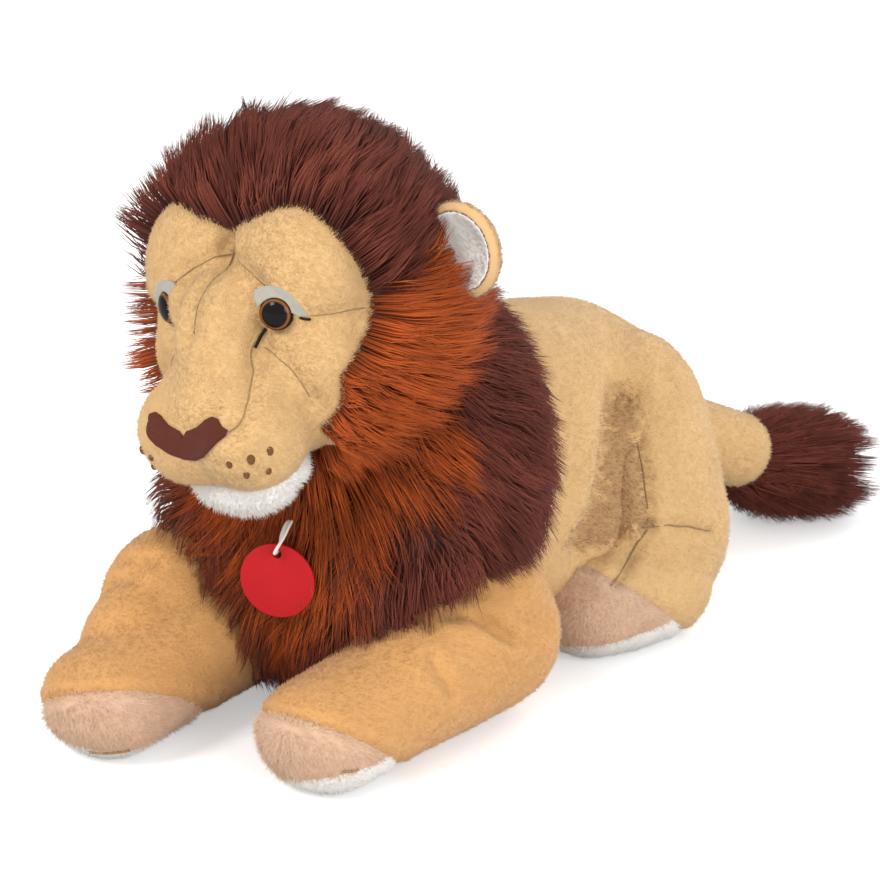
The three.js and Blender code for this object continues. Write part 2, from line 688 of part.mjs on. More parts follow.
function tagSpace() {
  const swinging = disc(tag.radius + sweepGap, tag.thickness + 2 * sweepGap, tag.z);
  return sweep(swinging, tagStitch, tagNormal, -tag.swingDegrees, tag.swingDegrees, 2)
    .add(ellipsoid({ x: tag.x, y: tag.y, z: tag.z + tag.radius, ...cord.room }, 0, sides.small))
    .add(ball(tagStitch, cord.stitchRoom, zAxis, sides.small));
}

function addTag() {
  const hole = disc(tag.holeRadius, tag.thickness * 2, tag.z + tag.radius - tag.holeDrop);
  add("tag_disc", disc(tag.radius, tag.thickness, tag.z).subtract(hole), colours.red, 0.35);
  const route = new THREE.CatmullRomCurve3(cordRoute.map(([x, y, z]) => v(x, y, z)), false, "centripetal");
  const section = new THREE.Shape();
  section.absarc(0, 0, cord.radius, 0, 2 * Math.PI, false);
  const tube = new THREE.ExtrudeGeometry(section, {
    extrudePath: route, steps: sides.cordSteps, curveSegments: sides.cord / 2, bevelEnabled: false,
  });
  add("tag_cord", solid(tube), colours.cord, 0.8);
}

addTorso();
for (const sign of [1, -1]) {
  addForeleg(sign);
  addHindleg(sign);
}
addTail();
addHead();
addMane();
addTag();

// The origin is on the floor under the middle of the whole lion.
const extent = new THREE.Box3().setFromObject(lion);
const middle = extent.getCenter(v(0, 0, 0));
lion.position.set(-middle.x, -middle.y, -extent.min.z);
lion.updateMatrixWorld(true);

export default lion;
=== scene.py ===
import json
import math
from typing import NamedTuple

import bmesh
import bpy
import numpy as np
from bpy.props import FloatProperty, FloatVectorProperty, IntProperty, PointerProperty
from mathutils import Matrix, Vector
from mathutils.bvhtree import BVHTree
from mathutils.kdtree import KDTree


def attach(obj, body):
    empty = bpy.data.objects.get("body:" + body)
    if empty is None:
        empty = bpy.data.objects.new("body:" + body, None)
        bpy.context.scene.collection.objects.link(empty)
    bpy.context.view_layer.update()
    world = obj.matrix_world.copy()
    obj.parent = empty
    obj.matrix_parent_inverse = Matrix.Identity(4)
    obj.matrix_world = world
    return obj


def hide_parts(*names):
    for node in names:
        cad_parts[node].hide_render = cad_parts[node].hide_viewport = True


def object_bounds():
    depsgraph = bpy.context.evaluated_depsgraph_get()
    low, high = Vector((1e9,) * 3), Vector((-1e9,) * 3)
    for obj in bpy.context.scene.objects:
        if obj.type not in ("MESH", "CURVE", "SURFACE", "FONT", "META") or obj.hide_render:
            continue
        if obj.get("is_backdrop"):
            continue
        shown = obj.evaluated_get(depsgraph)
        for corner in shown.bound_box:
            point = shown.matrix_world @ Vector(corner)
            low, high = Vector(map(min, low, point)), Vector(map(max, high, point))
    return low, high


bl_info = {
    "name": "Plush Lion",
    "version": (1, 0, 0),
    "blender": (4, 5, 0),
    "location": "View3D > Sidebar > Plush Lion",
    "description": "A stuffed plush lion lying down, with sewn covers, fur and a hang tag",
    "category": "Add Mesh",
}

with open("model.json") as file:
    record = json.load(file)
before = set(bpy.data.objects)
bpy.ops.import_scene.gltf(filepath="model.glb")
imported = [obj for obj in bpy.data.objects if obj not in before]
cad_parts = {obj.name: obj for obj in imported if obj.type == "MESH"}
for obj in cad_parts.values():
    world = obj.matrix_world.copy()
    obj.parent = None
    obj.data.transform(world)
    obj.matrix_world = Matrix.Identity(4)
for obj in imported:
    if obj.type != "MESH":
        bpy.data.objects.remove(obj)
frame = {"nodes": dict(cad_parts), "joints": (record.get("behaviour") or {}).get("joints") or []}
cad_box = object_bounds()

# Places below are in millimetres from the pattern's own origin. The neck's pivot ties it to the frame.
MM = 0.001
NECK = np.array((0.0, -178.0, 250.0))
JOINTS = {joint["name"]: np.array(joint["pos_m"]) for joint in frame["joints"]}
ORIGIN = JOINTS["head_turn"] - NECK * MM
TO_FRAME = Matrix.Translation(ORIGIN) @ Matrix.Scale(MM, 4)
UPRIGHT = Matrix.Identity(4)
SIDES = {"left": 1, "right": -1}

# Random draws: each group of pieces has its own row of them.
DRAW_ROWS = {
    "head": 1, "chin": 2, "ears": 3, "torso": 4, "collar": 5, "forelegs": 6, "hindlegs": 7, "tail": 9,
}
RAGGED_ROW = 5

# All fur: the most triangles to a piece, the steps of tone across its UV, and a strand's shape
PILE_FACES_LIMIT = 190000
TONE_CELLS = 32
CELL_SHARE = 0.96
TAPER = 0.7
FLOOR_GAP = 0.2

# Short pile: patches of a size in millimetres in which it swirls, grows longer or changes its tone
SWIRL_PATCH, SWIRL_SHARE = 22, 0.25
LENGTH_PATCH, LENGTH_SHARE, LENGTH_TONE = 14, 0.12, 0.05
TONE_PATCH, TONE_SHARE = 30, 0.09
PILE_TONE, PILE_TONE_SPREAD = 0.64, 0.08
PILE_LENGTHS = (0.7, 1.15)
PILE_WIDTHS = (0.8, 1.2)
PILE_ROOT_DEPTH = 0.6

# Long pile: how its locks sway, how far the strands differ, and how the tone is shared out
SWAY_PATCH, SWAY_SHARE, SWAY_SCATTER = 18, 0.3, 0.1
SHIFT_RANGE = (0.75, 1.2)
STRAND_WIDTHS = (0.75, 1.25)
STRAND_ROOT_DEPTH = 1.5
LOCK_TONE, STRAND_TONE, PATCH_TONE, PATCH_TONE_SIZE = 0.4, 0.35, 0.25, 26
LONG_FUR = {"steps": 2, "soft": 0.45}

# Where each fur grows: heights, half widths and places along Y in millimetres
HEAD_MANE_LOW = 152
THROAT = {"half_width": 22, "top": 230}
CROWN = {"low": 252, "rise": 0.25, "rise_from": -200, "front": -138, "ragged": 3}
COLLAR_LOW, NECK_RADIUS = 12, 78
BODY_JOIN = {"half_width": 64, "front": -98, "top": 178}
BIB = {"half_width": 84, "low": 40, "high": 180, "ragged": 7, "back": -160}
OVER_FORELEG = {"inside": 64, "front": -170, "height": 84}
COLLAR_TIP_LOW = 6
TORSO_FRONT = -118
BELLY = {"half_width": 50, "height": 12}
TAIL_PILE_FRONT = 128

# The painted shade in the hollow of each flank: its inner edge, how ragged it is, and how dark the painted
# shade makes its pile and backing
PAINTED_FLANK_SHADE = {"inside": 30, "ragged": 4, "tone": 0.06, "paint": 0.35}

# The head is made upright and leans to its right, as its solids do.
LEAN_DEGREES = 9
LEAN_Z = 200
LEAN = (
    Matrix.Translation((0, 0, LEAN_Z))
    @ Matrix.Rotation(math.radians(-LEAN_DEGREES), 4, "Y")
    @ Matrix.Translation((0, 0, -LEAN_Z))
)

# The camera, fitted to the photograph
PHOTO_SIZE = 880
CAMERA = {
    "azimuth": 39, "elevation": 20, "distance": 2200, "right": -43.2, "up": 105.9, "lens": 153, "sensor": 36,
}

# The lamps in metres and watts: (name, place, size, power, tint)
LAMPS = (
    ("key", (-0.4, -2.3, 2.0), 1.0, 40, (1.0, 0.98, 0.95)),
    ("fill", (2.3, -0.8, 1.0), 1.4, 28, (0.96, 0.98, 1.0)),
    ("back", (0.4, 2.0, 1.8), 1.4, 18, (1.0, 1.0, 1.0)),
)
LAMP_TARGET = (0, 0, 0.12)
WORLD_LIGHT = 0.82

# Stuffed forms as ellipsoids: (centre, radii)
HEAD_FORM = (
    ((0, -186, 240), (74, 50, 74)),
    ((31, -211, 262), (39, 29, 45)),
    ((-31, -211, 262), (39, 29, 45)),
    ((29, -214, 222), (39, 28, 34)),
    ((-29, -214, 222), (39, 28, 34)),
    ((-26, -240, 250), (9, 10, 17)),
    ((0, -212, 210), (62, 32, 44)),
    ((0, -238, 226), (26, 30, 46)),
    ((0, -240, 195), (46, 40, 38)),
    ((19, -250, 189), (31, 31, 30)),
    ((-19, -250, 189), (31, 31, 30)),
    ((0, -246, 205), (27, 34, 26)),
    ((46, -212, 196), (18, 16, 22)),
    ((-46, -212, 196), (18, 16, 22)),
)
SCALP_FORM = (((0, -166, 246), (78, 66, 80)),)
CHIN_FORM = (((0, -232, 158), (30, 26, 18)), ((0, -226, 166), (34, 26, 16)))
TORSO_STATIONS = (
    ((0, -132, 89), (55, 48, 76)),
    ((0, -107, 95), (62, 50, 90)),
    ((0, -60, 97), (69, 52, 97)),
    ((0, -20, 98), (73, 54, 103)),
    ((0, 48, 93), (74, 54, 93)),
    ((0, 90, 80), (68, 56, 79)),
    ((0, 109, 70), (57, 49, 67)),
)
HIP_FORM = (((42, 56, 112), (40, 46, 61)), ((-42, 56, 112), (40, 46, 61)))
COLLAR_FORM = (
    ((0, -125, 146), (95, 66, 104)),
    ((0, -156, 102), (80, 38, 62)),
    ((60, -162, 118), (26, 22, 32)),
    ((-64, -172, 112), (28, 26, 36)),
    ((26, -164, 64), (32, 30, 46)),
    ((-26, -164, 64), (34, 32, 46)),
)
FORELEG_REACH = {"left": -244, "right": -284}
HIND_TOE_Y = -44
UPPER_ARM_FORM = [
    ((-84, -200, 53), (36, 48, 46)),
    ((-76, -170, 62), (34, 42, 38)),
    ((-77, -238, 42), (28, 36, 36)),
]
TAIL_STATIONS = (((2, 122, 90), (26, 26, 28)), ((13, 150, 77), (24, 24, 24)), ((25, 187, 60), (23, 23, 23)))
TUFT = {"root": (6, 208, 42), "tip": (62, 276, 32), "radius": 42, "core": 12}

# The outside of the long pile as ellipsoids: (centre, radii)
CROWN_REACH = (((-8, -186, 236), (107, 70, 122)), ((0, -170, 250), (90, 92, 102)))
CHEEK_REACH = (((-6, -186, 246), (108, 70, 96)), ((0, -170, 230), (107, 86, 98)))
COLLAR_REACH = (
    ((0, -125, 146), (118, 88, 128)),
    ((0, -158, 102), (102, 56, 84)),
    ((62, -168, 118), (44, 40, 50)),
    ((-66, -178, 112), (48, 48, 54)),
    ((30, -175, 65), (46, 47, 60)),
    ((-30, -175, 65), (48, 49, 60)),
)

# The middle of the face, the tip of its nose, and the edge of its short plush as pixels of the photograph
FACE_CENTRE = np.array((0.0, -230.0, 215.0))
FACE_AXIS_Y = -165.0
NOSE_TIP = np.array((0, -285, 196))
THROAT_ANGLES = (54.0, 52.0)
FACE_EDGE = (
    (230.5, 232), (250, 222), (275, 211), (300, 208), (322, 222), (344, 248), (358, 265), (367, 286),
    (369, 310), (364.5, 333), (353, 355), (340, 375), (341, 398), (333, 413), (318, 427),
)

# Seams and creases as pixels of the photograph
CENTRE_SEAM = ((228, 233), (225, 243), (217, 257), (212, 288), (210, 315), (203, 334))
BROW_SEAM = ((228, 250), (236, 260), (248, 273), (262, 287))
TEMPLE_SEAM = ((311, 317), (333, 315), (352, 311), (366, 309))
MUZZLE_SEAM = ((264, 330), (256, 347), (253, 369), (248, 398), (244, 415), (235, 427), (229, 431))
CHEEK_SEAM = ((262, 346), (275, 356), (288, 367), (300, 382), (310, 398))
FACE_SEAMS = ((BROW_SEAM, 2.8), (TEMPLE_SEAM, 2.0), (MUZZLE_SEAM, 3.4), (CHEEK_SEAM, 1.8))
TEAR_LINE = ((266, 328), (260, 337), (255, 348))
LASH_LINE = ((300, 317), (306, 320), (311, 319))
NOSE_HALF = (
    (177, 435.5), (187, 431), (198, 427), (206, 420), (213, 417), (219, 419), (222, 426), (228, 430),
    (226, 437), (214, 447), (205, 457), (197, 460), (186, 459),
)
ARM_CREASES = (
    ((449, 614), (470, 616), (490, 624), (513, 637)),
    ((480, 621), (497, 634), (516, 640), (530, 642)),
    ((521, 619), (536, 624), (549, 629)),
    ((434, 663), (442, 676), (452, 692)),
)
SHOULDER_CREASES = (((107, 566), (122, 562), (138, 561), (152, 562)), ((112, 583), (122, 577), (135, 575)))
THIGH_SEAM = ((629, 352), (631, 380), (630, 400), (637, 440), (645, 480), (650, 524))
HEEL_CREASE = ((645, 527), (668, 526), (690, 527), (712, 532))
FOOT_SEAM = ((648, 530), (632, 552), (620, 575), (613, 584))
SHADED_FLANK = (
    (606, 398), (618, 388), (628, 380), (632, 403), (637, 440), (645, 480), (651, 526), (622, 536),
    (598, 548), (572, 552), (566, 545), (592, 500),
)
FLANK_VALLEY = ((621, 398), (619, 415), (617, 440), (610, 485), (598, 525), (585, 545))
PANEL_LEAN = (-0.4, 0.72, -0.58)
PANEL_SEAMS = {
    "foreleg_left": ((268, 712), (381, 751)),
    "foreleg_right": ((50, 700), (183, 698)),
    "hindleg_left": ((566, 561), (672, 618)),
}
PAW_MARKS = {
    "left": (((342, 771), (350, 771), (358, 769)), ((399, 766), (405, 761), (411, 753))),
    "right": (((90, 751), (110, 752), (130, 749)),),
}

# Whisker spots: the pixel across and down, and the radius of the knot in millimetres
WHISKER_SPOTS = (
    (229.4, 464.6, 1.6), (251, 459.4, 2.1), (270, 451, 1.8), (246.6, 474.8, 1.7), (268.5, 470.8, 1.6),
)

# The tag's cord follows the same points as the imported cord.
CORD_ROUTE = (
    (11.2, -208.4, 128), (13, -213, 126.6), (14.2, -218, 123), (14.2, -222.6, 119), (13, -224.2, 115.8),
    (11.6, -222.8, 114), (10, -219, 113.7), (8.5, -215.2, 114.2), (7.4, -213.4, 117), (7.2, -212, 120.6),
    (8, -209.6, 125.6), (8.8, -207.4, 127.4),
)
CORD_DIAMETER = 1.8
TAG = {
    "centre": (10, -219, 97), "radius": 21, "thickness": 1.8, "edge": 0.35, "turn": 22,
    "hole_radius": 2.6, "hole_drop": 5.5,
}
EYE = {"centre": (38, -238.5, 251), "radius": 9.2, "dome": 5.6, "outward": 24, "shank": 2, "length": 14}
EAR = {"base": (60, -150, 262), "half": 26, "depth": 9, "lean": 50, "hollow": 9, "rim_share": 0.84}
FELT_THICKNESS = 1.6

# A felt lid's outline in shares of the eye's radius
LID_OUTLINE = (
    (-0.98, 0.45), (-1.22, 1.0), (-1.12, 1.42), (-0.62, 1.58), (-0.02, 1.6), (0.6, 1.42), (1.12, 1.02),
    (1.5, 0.5), (1.84, -0.32), (1.3, -0.3), (0.94, 0.02), (0.86, 0.36), (0.62, 0.7), (0.2, 0.9),
    (-0.25, 0.9), (-0.66, 0.72),
)


def linear(code):
    """The linear colour of a six-digit colour code."""
    channels = [int(code[i : i + 2], 16) / 255 for i in (0, 2, 4)]
    return tuple(c / 12.92 if c <= 0.04045 else ((c + 0.055) / 1.055) ** 2.4 for c in channels)


def unit(vectors):
    """The vectors at a length of 1."""
    return vectors / np.maximum(np.linalg.norm(vectors, axis=-1, keepdims=True), 1e-9)


def mirrored(points):
    """The points on the other side of the lion."""
    return [(-x, y, z) for x, y, z in points]


def between(stations, count):
    """The stations with more ellipsoids set evenly between each pair."""
    parts = []
    for (centre, radii), (next_centre, next_radii) in zip(stations, stations[1:]):
        for i in range(count):
            share = i / count
            parts.append((Vector(centre).lerp(next_centre, share), Vector(radii).lerp(next_radii, share)))
    return parts + [stations[-1]]


def distance_to_line(points, line):
    """The distance from each point to the nearest stretch of a line of points."""
    nearest = np.full(len(points), np.inf)
    line = np.asarray(line, float)
    for start, end in zip(line, line[1:]):
        run = end - start
        share = np.clip((points - start) @ run / (run @ run), 0, 1)
        nearest = np.minimum(nearest, np.linalg.norm(points - start - share[:, None] * run, axis=1))
    return nearest


# The camera's place and its lines of sight


def camera_axes():
    azimuth, elevation = math.radians(CAMERA["azimuth"]), math.radians(CAMERA["elevation"])
    back = np.array((
        math.sin(azimuth) * math.cos(elevation),
        -math.cos(azimuth) * math.cos(elevation),
        math.sin(elevation),
    ))
    right = np.array((math.cos(azimuth), math.sin(azimuth), 0.0))
    return right, np.cross(back, right), back


def camera_place():
    right, up, back = camera_axes()
    return back * CAMERA["distance"] + right * CAMERA["right"] + up * CAMERA["up"]


def pixels_of(points):
    """The photograph's pixels at which the camera sees points given in millimetres."""
    right, up, back = camera_axes()
    offset = points - camera_place()
    focal = CAMERA["lens"] / CAMERA["sensor"] * PHOTO_SIZE
    depth = -(offset @ back)
    across, down = focal * (offset @ right) / depth, -focal * (offset @ up) / depth
    return np.stack((across, down), axis=1) + PHOTO_SIZE / 2


def inside_outline(pixels, outline):
    """Whether each pixel lies inside a closed outline."""
    inside = np.zeros(len(pixels), bool)
    corners = list(zip(outline, outline[1:] + outline[:1]))
    for (x0, y0), (x1, y1) in corners:
        spans = (pixels[:, 1] < y0) != (pixels[:, 1] < y1)
        edge = x0 + (pixels[:, 1] - y0) * (x1 - x0) / ((y1 - y0) or 1)
        inside ^= spans & (pixels[:, 0] < edge)
    return inside


def sight(pixel):
    """The direction from the camera through a pixel of the photograph."""
    right, up, back = camera_axes()
    focal = CAMERA["lens"] / CAMERA["sensor"] * PHOTO_SIZE
    across, down = pixel[0] - PHOTO_SIZE / 2, pixel[1] - PHOTO_SIZE / 2
    return unit(right * across - up * down - back * focal)


# Skins: closed forms that are pressed, creased and cut like sewn plush


def linked(name, data):
    """A new object in the scene that shows a mesh, curve, camera or lamp."""
    thing = bpy.data.objects.new(name, data)
    bpy.context.scene.collection.objects.link(thing)
    return thing


def modified(mesh, kind, **settings):
    """The mesh with one modifier applied to it."""
    holder = linked("holder", mesh)
    modifier = holder.modifiers.new("change", kind)
    for name, value in settings.items():
        setattr(modifier, name, value)
    evaluated = holder.evaluated_get(bpy.context.evaluated_depsgraph_get())
    made = bpy.data.meshes.new_from_object(evaluated)
    bpy.data.objects.remove(holder)
    bpy.data.meshes.remove(mesh)
    return made


def finished(bm, title):
    """The mesh that a bmesh makes. The bmesh is freed."""
    mesh = bpy.data.meshes.new(title)
    bm.to_mesh(mesh)
    bm.free()
    return mesh


def smooth_verts(bm, verts, rounds=1):
    """Evens the vertices out between their neighbours."""
    for _ in range(rounds):
        bmesh.ops.smooth_vert(bm, verts=verts, factor=0.5, use_axis_x=True, use_axis_y=True, use_axis_z=True)


class Skin:
    """A closed, remeshed skin round overlapping ellipsoids, worked in millimetres. The turn is its lean."""

    def __init__(self, parts, voxel, rounds, turn=UPRIGHT):
        self.turn = turn
        bm = bmesh.new()
        for centre, radii in parts:
            made = bmesh.ops.create_uvsphere(bm, u_segments=28, v_segments=18, radius=1)
            place = Matrix.LocRotScale(Vector(centre), None, Vector(radii))
            bmesh.ops.transform(bm, matrix=place, verts=made["verts"])
        self.mesh = modified(finished(bm, "rough"), "REMESH", mode="VOXEL", voxel_size=voxel)
        self.smooth(rounds)

    def read(self):
        """Takes the points and the normals from the mesh."""
        flat = np.empty(len(self.mesh.vertices) * 3, np.float32)
        self.mesh.vertices.foreach_get("co", flat)
        self.points = flat.reshape(-1, 3).astype(float)
        self.mesh.vertex_normals.foreach_get("vector", flat)
        self.normals = flat.reshape(-1, 3).astype(float)

    def write(self, points):
        """Moves the mesh to the points."""
        self.mesh.vertices.foreach_set("co", points.astype(np.float32).ravel())
        self.mesh.update()
        self.read()

    def smooth(self, rounds):
        bm = bmesh.new()
        bm.from_mesh(self.mesh)
        smooth_verts(bm, bm.verts, rounds)
        bm.to_mesh(self.mesh)
        bm.free()
        self.read()

    def press(self, distance, depth, width, roll=0.0):
        """Moves the skin inward where the distance is small, and swells it a little beside that."""
        near = np.exp(-((distance / width) ** 2))
        beside = np.exp(-(((distance - 2 * width) / width) ** 2))
        self.write(self.points - self.normals * (depth * (near - roll * beside))[:, None])

    def groove(self, line, depth, width, roll=0.25):
        """Presses a seam or a crease along a line."""
        self.press(distance_to_line(self.points, line), depth, width, roll)

    def dent(self, centre, depth, width):
        self.press(np.linalg.norm(self.points - np.asarray(centre), axis=1), depth, width)

    def lie_flat(self, height=0.3):
        """The weight presses the underside flat on the floor."""
        points = self.points.copy()
        points[:, 2] = np.maximum(points[:, 2], height)
        self.write(points)

    def laid(self, line, height, rounds=12):
        """A smooth line of points drawn over the skin at a height, in steps of about a millimetre."""
        tree = self.tree()
        path = []
        for start, end in zip(line, line[1:]):
            start, end = Vector(start), Vector(end)
            steps = max(1, round((end - start).length))
            path += [start.lerp(end, step / steps) for step in range(steps)]
        path.append(Vector(line[-1]))
        found = [tree.find_nearest(point) for point in path]
        drawn = np.array([place + normal * height for place, normal, _, _ in found])
        for _ in range(rounds):
            drawn[1:-1] = (drawn[:-2] + 2 * drawn[1:-1] + drawn[2:]) / 4
        return [Vector(place) for place in drawn]

    def tree(self):
        faces = [tuple(face.vertices) for face in self.mesh.polygons]
        return BVHTree.FromPolygons([Vector(point) for point in self.points], faces)

    def seen(self, pixels):
        """The points of the skin that the camera sees at these pixels."""
        tree = self.tree()
        back = self.turn.inverted()
        place = back @ Vector(camera_place())
        hits = [tree.ray_cast(place, back.to_3x3() @ Vector(sight(pixel)))[0] for pixel in pixels]
        return [tuple(hit) for hit in hits if hit is not None]

    def roots(self, density, rng):
        """Random points on the skin, so many to the square millimetre, and the skin's normals there."""
        self.mesh.calc_loop_triangles()
        corners = np.empty(len(self.mesh.loop_triangles) * 3, np.int32)
        self.mesh.loop_triangles.foreach_get("vertices", corners)
        a, b, c = corners.reshape(-1, 3).T
        area = np.linalg.norm(
            np.cross(self.points[b] - self.points[a], self.points[c] - self.points[a]), axis=1
        ) / 2
        pick = rng.choice(len(area), int(area.sum() * density), p=area / area.sum())
        s, t = rng.random((2, len(pick), 1))
        s, t = np.where(s + t > 1, 1 - s, s), np.where(s + t > 1, 1 - t, t)
        a, b, c = a[pick], b[pick], c[pick]
        place = self.points[a] * (1 - s - t) + self.points[b] * s + self.points[c] * t
        normal = self.normals[a] * (1 - s - t) + self.normals[b] * s + self.normals[c] * t
        return place, unit(normal)

    def stuffing(self, depth=5.0, faces_share=0.1):
        """The filling of this skin: its own form, moved in under the cover, with fewer faces."""
        mesh = self.cut()
        inner = self.points - self.normals * depth
        mesh.vertices.foreach_set("co", inner.astype(np.float32).ravel())
        return modified(mesh, "DECIMATE", ratio=faces_share)

    def cut(self, planes=()):
        """A copy of the mesh, kept behind each plane (point, normal) and closed where it was cut."""
        bm = bmesh.new()
        bm.from_mesh(self.mesh)
        for point, normal in planes:
            everything = bm.verts[:] + bm.edges[:] + bm.faces[:]
            bmesh.ops.bisect_plane(
                bm, geom=everything, plane_co=point, plane_no=normal, clear_outer=True, clear_inner=False
            )
            rim = [edge for edge in bm.edges if edge.is_boundary]
            made = bmesh.ops.holes_fill(bm, edges=rim, sides=0)
            bmesh.ops.triangulate(bm, faces=made["faces"])
        return finished(bm, "cut")


def put(name, mesh, body, slot, material, nodes=(), turn=UPRIGHT):
    """Puts a finished mesh, made in millimetres, in the frame on its body."""
    mesh.transform(TO_FRAME @ turn)
    mesh.shade_smooth()
    mesh.name = name
    mesh.materials.append(MATERIALS[material])
    piece = linked(name, mesh)
    if nodes:
        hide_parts(*nodes)
    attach(piece, body)
    return piece


def put_stuffing(name, skin, body, node):
    """The filling that a skin holds."""
    mesh = skin.stuffing()
    put(f"{name}_stuffing", mesh, body, "filling", "stuffing", [node], turn=skin.turn)


def put_thread(name, skin, line, height, radius, body, slot, material):
    """A thread of a radius laid along a line of a skin, at a height over it."""
    mesh = tube_mesh(skin.laid(line, height), radius)
    put(name, mesh, body, slot, material, turn=skin.turn)


def paint(mesh, shares):
    """Gives each point of a backing its share of the painted colour."""
    layer = mesh.attributes.new("painted", "FLOAT", "POINT")
    layer.data.foreach_set("value", np.asarray(shares, np.float32))


def tube_mesh(points, radius):
    """A round tube along points, with closed ends."""
    line = bpy.data.curves.new("tube", "CURVE")
    line.dimensions = "3D"
    line.bevel_depth = radius
    line.bevel_resolution = 3
    line.use_fill_caps = True
    spline = line.splines.new("POLY")
    spline.points.add(len(points) - 1)
    for place, point in zip(spline.points, points):
        place.co = (*point, 1)
    holder = linked("tube", line)
    rough = bpy.data.meshes.new_from_object(holder.evaluated_get(bpy.context.evaluated_depsgraph_get()))
    bpy.data.objects.remove(holder)
    bpy.data.curves.remove(line)
    bm = bmesh.new()
    bm.from_mesh(rough)
    bpy.data.meshes.remove(rough)
    bmesh.ops.remove_doubles(bm, verts=bm.verts, dist=radius * 0.05)
    bmesh.ops.recalc_face_normals(bm, faces=bm.faces)
    return finished(bm, "tube")


# Fur: closed, tapered, three-sided strands


class Strands(NamedTuple):
    """Where each strand starts, bends and ends, its width and tone, and the way its pile faces."""

    roots: np.ndarray
    bends: np.ndarray
    tips: np.ndarray
    widths: np.ndarray
    tones: np.ndarray
    facing: np.ndarray

    def chosen(self, pick):
        return Strands(*(values[pick] for values in self))


def strand_pattern(steps):
    """One strand from 0 to 1 along Z: its vertices, its faces and a strip of UV for each face."""
    bm = bmesh.new()
    bmesh.ops.create_cone(
        bm, cap_ends=True, segments=3, radius1=1, radius2=0, depth=1, matrix=Matrix.Translation((0, 0, 0.5))
    )
    bmesh.ops.remove_doubles(bm, verts=bm.verts, dist=1e-5)
    for step in range(1, steps):
        everything = bm.verts[:] + bm.edges[:] + bm.faces[:]
        bmesh.ops.bisect_plane(bm, geom=everything, plane_co=(0, 0, step / steps), plane_no=(0, 0, 1))
    bmesh.ops.recalc_face_normals(bm, faces=bm.faces)
    bm.verts.index_update()
    places = np.array([vert.co[:] for vert in bm.verts])
    angles = np.arctan2(places[:, 1], places[:, 0])
    faces, strips = [], []
    for face in bm.faces:
        corners = [vert.index for vert in face.verts]
        middle = face.calc_center_median()
        facing = math.atan2(middle.y, middle.x)
        for corner in corners:
            turn = (angles[corner] - facing + math.pi) % (2 * math.pi) - math.pi
            on_axis = places[corner, 2] > 0.999
            strips.append((0.5 + (0 if on_axis else turn) / (2 * math.pi), places[corner, 2]))
        faces.append(corners)
    bm.free()
    side = unit(places * (1, 1, 0))
    return places[:, 2], side, faces, np.array(strips)


def strand_mesh(strands, steps, soft, rng):
    """All the strands as one mesh. Its UV holds the strand's tone across and the place along it upward.

    Soft is how far the strands are shaded as one surface, from 0 to 1.
    """
    roots, bends, tips, widths, tones, facing = strands
    along, side, faces, strips = strand_pattern(steps)
    count, corners = len(roots), len(along)
    run = unit(tips - roots)
    across = unit(np.cross(run, rng.normal(size=(count, 3))))
    over = np.cross(run, across)
    t = along[None, :, None]
    centre = roots[:, None] * (1 - t) ** 2 + bends[:, None] * 2 * t * (1 - t) + tips[:, None] * t**2
    girth = widths[:, None, None] / 2 * np.power(np.maximum(1 - t**2, 0), TAPER)
    radial = across[:, None] * side[None, :, :1] + over[:, None] * side[None, :, 1:2]
    points = (centre + girth * radial).reshape(-1, 3)
    points[:, 2] = np.maximum(points[:, 2], FLOOR_GAP)

    mesh = bpy.data.meshes.new("strands")
    loops = np.concatenate(faces)
    sizes = np.array([len(face) for face in faces])
    starts = np.concatenate(([0], np.cumsum(sizes)[:-1]))
    shift = np.arange(count)[:, None]
    mesh.vertices.add(count * corners)
    mesh.vertices.foreach_set("co", points.astype(np.float32).ravel())
    mesh.loops.add(count * len(loops))
    mesh.loops.foreach_set("vertex_index", (loops[None] + shift * corners).astype(np.int32).ravel())
    mesh.polygons.add(count * len(faces))
    mesh.polygons.foreach_set("loop_start", (starts[None] + shift * len(loops)).astype(np.int32).ravel())
    uv = np.empty((count, len(loops), 2), np.float32)
    cell = np.floor(np.clip(tones, 0, 0.999) * TONE_CELLS) / TONE_CELLS
    uv[:, :, 0] = cell[:, None] + strips[None, :, 0] * CELL_SHARE / TONE_CELLS
    uv[:, :, 1] = strips[None, :, 1]
    mesh.uv_layers.new(name="OFBake").data.foreach_set("uv", uv.ravel())
    mesh.update(calc_edges=True)
    mesh.shade_smooth()
    shading = unit(radial * (1 - soft) + facing[:, None] * soft).reshape(-1, 3)
    mesh.normals_split_custom_set_from_vertices(shading.astype(np.float32))
    return mesh


def put_strands(name, strands, body, slot, material, rng, nodes=(), turn=UPRIGHT, steps=1, soft=0.85):
    """Puts strands in as few pieces as the limit allows, split from one side of the lion to the other."""
    faces_each = 4 + 6 * (steps - 1)
    pieces = math.ceil(len(strands.roots) * faces_each / PILE_FACES_LIMIT)
    order = np.argsort(strands.roots[:, 0])
    for number, pick in enumerate(np.array_split(order, pieces), 1):
        mesh = strand_mesh(strands.chosen(pick), steps, soft, rng)
        title = f"{name}_{number}" if pieces > 1 else name
        put(title, mesh, body, slot, material, nodes, turn=turn)


def tangent(vectors, normals):
    """The way of the vectors along the surface that has these normals."""
    return unit(vectors - normals * np.sum(vectors * normals, axis=1, keepdims=True))


def drift(points, size, rng):
    """A smooth random field from -1 to 1 whose patches have about the given size in millimetres."""
    total = np.zeros(len(points))
    for _ in range(10):
        wave = rng.normal(size=3) / size * 2.2
        total += np.sin(points @ wave + rng.uniform(0, 2 * math.pi))
    return np.clip(total / 3.2, -1, 1)


def nap(*way):
    """The flow of pile that lies the same way all over a piece."""
    return lambda points: np.tile(way, (len(points), 1))


